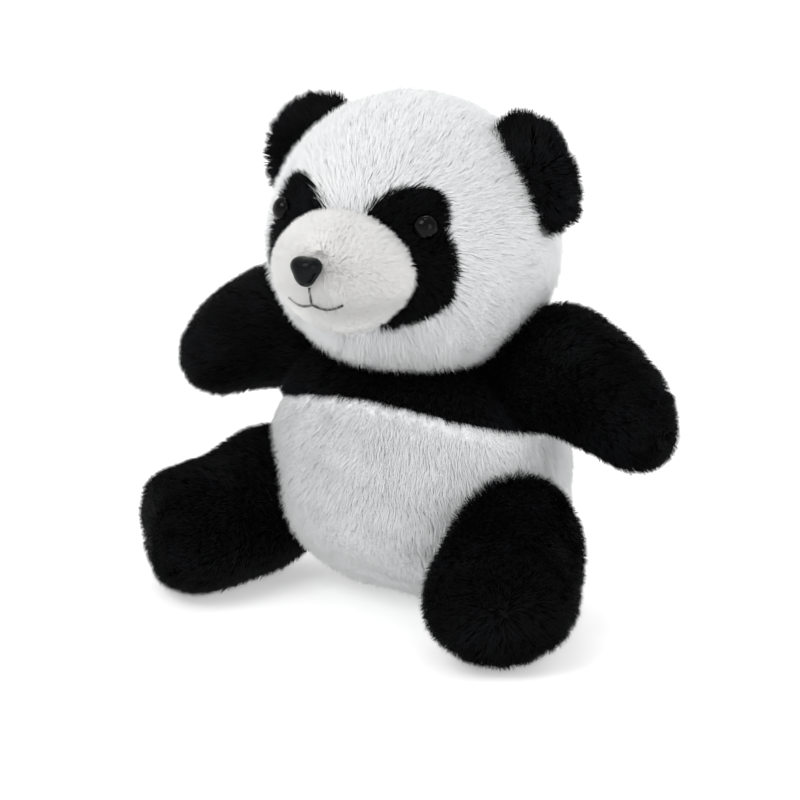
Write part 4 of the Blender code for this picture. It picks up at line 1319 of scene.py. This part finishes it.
def stuffed(body, grid, rides_on=None):
    """A body of stuffing that takes a stuffing node's place."""
    filling = closed_form(body + "_filling", grid)
    place_piece(filling, STUFFING, (body + "_stuffing",), body=rides_on)
    return filling


stuffed("head", head_place(on_head(ball_directions(20, 36), PILE_RISE + STUFFING_GAP)), "head")
stuffed("muzzle", head_place(muzzle_surface(muzzle_directions(14, 32), -STUFFING_GAP)), "head")
inner_turn = around(48)[None, :] * np.ones((30, 1))
inner_height = np.linspace(5.0, TORSO_CROWN - 1.0, 30)[:, None] * np.ones((1, 48))
inner_rings = under_head(torso_surface(inner_height, inner_turn, PILE_RISE + STUFFING_GAP))
inner_rings[..., 2] -= STUFFING_GAP * (inner_height > YOKE_Z)
stuffed("torso", inner_rings, "torso")


def slimmed(stations):
    """Stations of a limb's stuffing: narrower, lower and shorter than its skin all round."""
    slim = np.array(stations) - np.array([0.0, 0.0, STUFFING_GAP, STUFFING_GAP, 0.0])
    slim[:, 0] *= 1.0 - 2.0 * STUFFING_GAP / slim[-1, 0]
    return np.maximum(slim, [-np.inf, -np.inf, 2.0, 2.0, -np.inf])


for limb in LIMBS.values():
    inner_grid = limb.grid(slimmed(limb.stations), 20, 24, LIMB_FLOOR + STUFFING_GAP)
    limb.bend(stuffed(limb.body, inner_grid))

# %% Washers and closing seam
WASHER_PROFILE = smooth_curve([(2.1, 0.4), (4.5, 0.7), (6.0, 0.2), (6.0, -0.8),
                               (4.0, -1.2), (2.1, -1.0)], 21)
WASHER_DEPTH = 2.0
NOSE_WASHER_DEPTH = 4.5


def washer(name, place, facing, node):
    """A locking washer behind the cloth at a place in head axes."""
    ring = closed_form(name, head_place(turned(WASHER_PROFILE, place, facing, 36)))
    place_piece(ring, WASHER, (node,), body="head")


for side, word in SIDES:
    place = on_head(EYE_PLACE * mirrored(side), PILE_RISE + WASHER_DEPTH)
    washer("washer_" + word, place, head_normal(place), "eye_washer_" + word)
washer("washer_nose", NOSE_CENTRE - NOSE_DIRECTION * NOSE_WASHER_DEPTH, NOSE_DIRECTION, "nose_washer")

seam_low, seam_high = box_of("closing_thread")
seam_height = np.linspace(seam_low[2], seam_high[2], 60)
seam_path = torso_surface(seam_height, np.pi * np.ones(60), PILE_RISE - 0.4)
closing = closed_form("closing_stitch", thread_along(seam_path))
place_piece(closing, WHITE_THREAD, ("closing_thread",), body="torso")

# %% [markdown]
# ## Studio
# A soft toy wants even light, so the world itself is bright. A broad key light in front, a fill
# from the right and a light behind shape it gently, and two narrow lights overhead make the small
# highlights in the eyes. The pale floor curves up far away, where it stands in for a backdrop.

# %% Floor
FLOOR_RADIUS = 30000.0
FLAT_RADIUS = 3000.0
FLOOR_CURVE = 0.0018


def backdrop(rows=24, columns=96):
    """A round floor: rings of growing radius r, at height curve * (r - flat) ** 1.5 beyond the flat."""
    radius = np.geomspace(10.0, FLOOR_RADIUS, rows)[:, None]
    height = FLOOR_CURVE * np.maximum(radius - FLAT_RADIUS, 0.0) ** 1.5
    turn = around(columns)[None, :]
    rings = np.stack([radius * np.cos(turn), radius * np.sin(turn), height * np.ones_like(turn)], axis=-1)
    points = np.concatenate([rings.reshape(-1, 3), [[0.0, 0.0, 0.0]]])
    column = np.arange(columns)
    middle_fan = np.stack([column, (column + 1) % columns, np.full(columns, rows * columns)], axis=-1)
    return make_object("floor", points, ring_faces(rows, columns)[:, ::-1], middle_fan)


floor = backdrop()
paper = Finish("pale paper", Roughness=0.9, Specular_IOR_Level=0.1,
               Emission_Color=(1.0, 1.0, 1.0, 1.0), Emission_Strength=0.4)
paper.feed(Base_Color=paper.blend(paper.noise(3.0), (0.86, 0.86, 0.86), (0.89, 0.89, 0.89)))
floor.data.materials.append(paper.material)
floor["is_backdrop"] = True

# %% Lights
TOY_MIDDLE = (0.0, 0.0, 0.11)


def aim(thing, target):
    """Turn an object's -Z axis at a target."""
    from_target = np.array(thing.location) - np.array(target)
    yaw = np.arctan2(from_target[0], -from_target[1])
    level = np.hypot(from_target[0], from_target[1])
    thing.rotation_euler = (np.arctan2(level, from_target[2]), 0.0, yaw)


def soft_light(name, place, width, height, power):
    """An area light that points at the toy's middle."""
    lamp = bpy.data.lights.new(name, "AREA")
    lamp.shape = "RECTANGLE"
    lamp.size = width
    lamp.size_y = height
    lamp.energy = power
    light = bpy.data.objects.new(name, lamp)
    light.location = place
    aim(light, TOY_MIDDLE)
    bpy.context.scene.collection.objects.link(light)
    light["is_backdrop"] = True
    print(name, power, "W from", round(float(np.linalg.norm(place)), 2), "m")


soft_light("key_light", (-0.2, -1.0, 1.2), 0.8, 0.6, 7.0)
soft_light("top_light_near", (0.1, -0.3, 1.75), 0.6, 0.08, 1.8)
soft_light("top_light_far", (-0.37, 0.57, 1.67), 0.6, 0.08, 1.8)
soft_light("fill_light", (1.4, -0.7, 0.6), 0.8, 0.8, 4.2)
soft_light("back_light", (0.2, 1.4, 1.0), 0.8, 0.8, 4.0)

world = bpy.data.worlds.new("studio")
world.use_nodes = True
background = world.node_tree.nodes["Background"]
background.inputs["Color"].default_value = (1.0, 1.0, 1.0, 1.0)
background.inputs["Strength"].default_value = 0.76
bpy.context.scene.world = world
bpy.context.scene.view_settings.view_transform = "Standard"

# %% Camera
CAMERA_AZIMUTH = np.radians(33.0)
CAMERA_ELEVATION = np.radians(16.0)
CAMERA_DISTANCE = 1.0
CAMERA_SIDESTEP = -0.004
CAMERA_TARGET = np.array([CAMERA_SIDESTEP * np.cos(CAMERA_AZIMUTH),
                          CAMERA_SIDESTEP * np.sin(CAMERA_AZIMUTH), 0.0905])
camera = bpy.data.objects.new("camera", bpy.data.cameras.new("camera"))
camera.data.lens = 100.0
camera.data.sensor_width = 36.0
back = np.array([np.sin(CAMERA_AZIMUTH) * np.cos(CAMERA_ELEVATION),
                 -np.cos(CAMERA_AZIMUTH) * np.cos(CAMERA_ELEVATION), np.sin(CAMERA_ELEVATION)])
camera.location = CAMERA_TARGET + back * CAMERA_DISTANCE
aim(camera, CAMERA_TARGET)
bpy.context.scene.collection.objects.link(camera)
bpy.context.scene.camera = camera
print("camera at", [round(value, 3) for value in camera.location], "with a", camera.data.lens, "mm lens")

# %% [markdown]
# ## Measure and finish
# The looks stand a little proud of the imported model, as pile does. Both boxes are printed
# so that the two can be compared.

# %% Sizes and last line
looks_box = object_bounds()
boxes = {"cad": cad_box, "looks": looks_box}
for label, (low, high) in boxes.items():
    print(label, "box", [round((b - a) / MM, 1) for a, b in zip(low, high)], "mm")
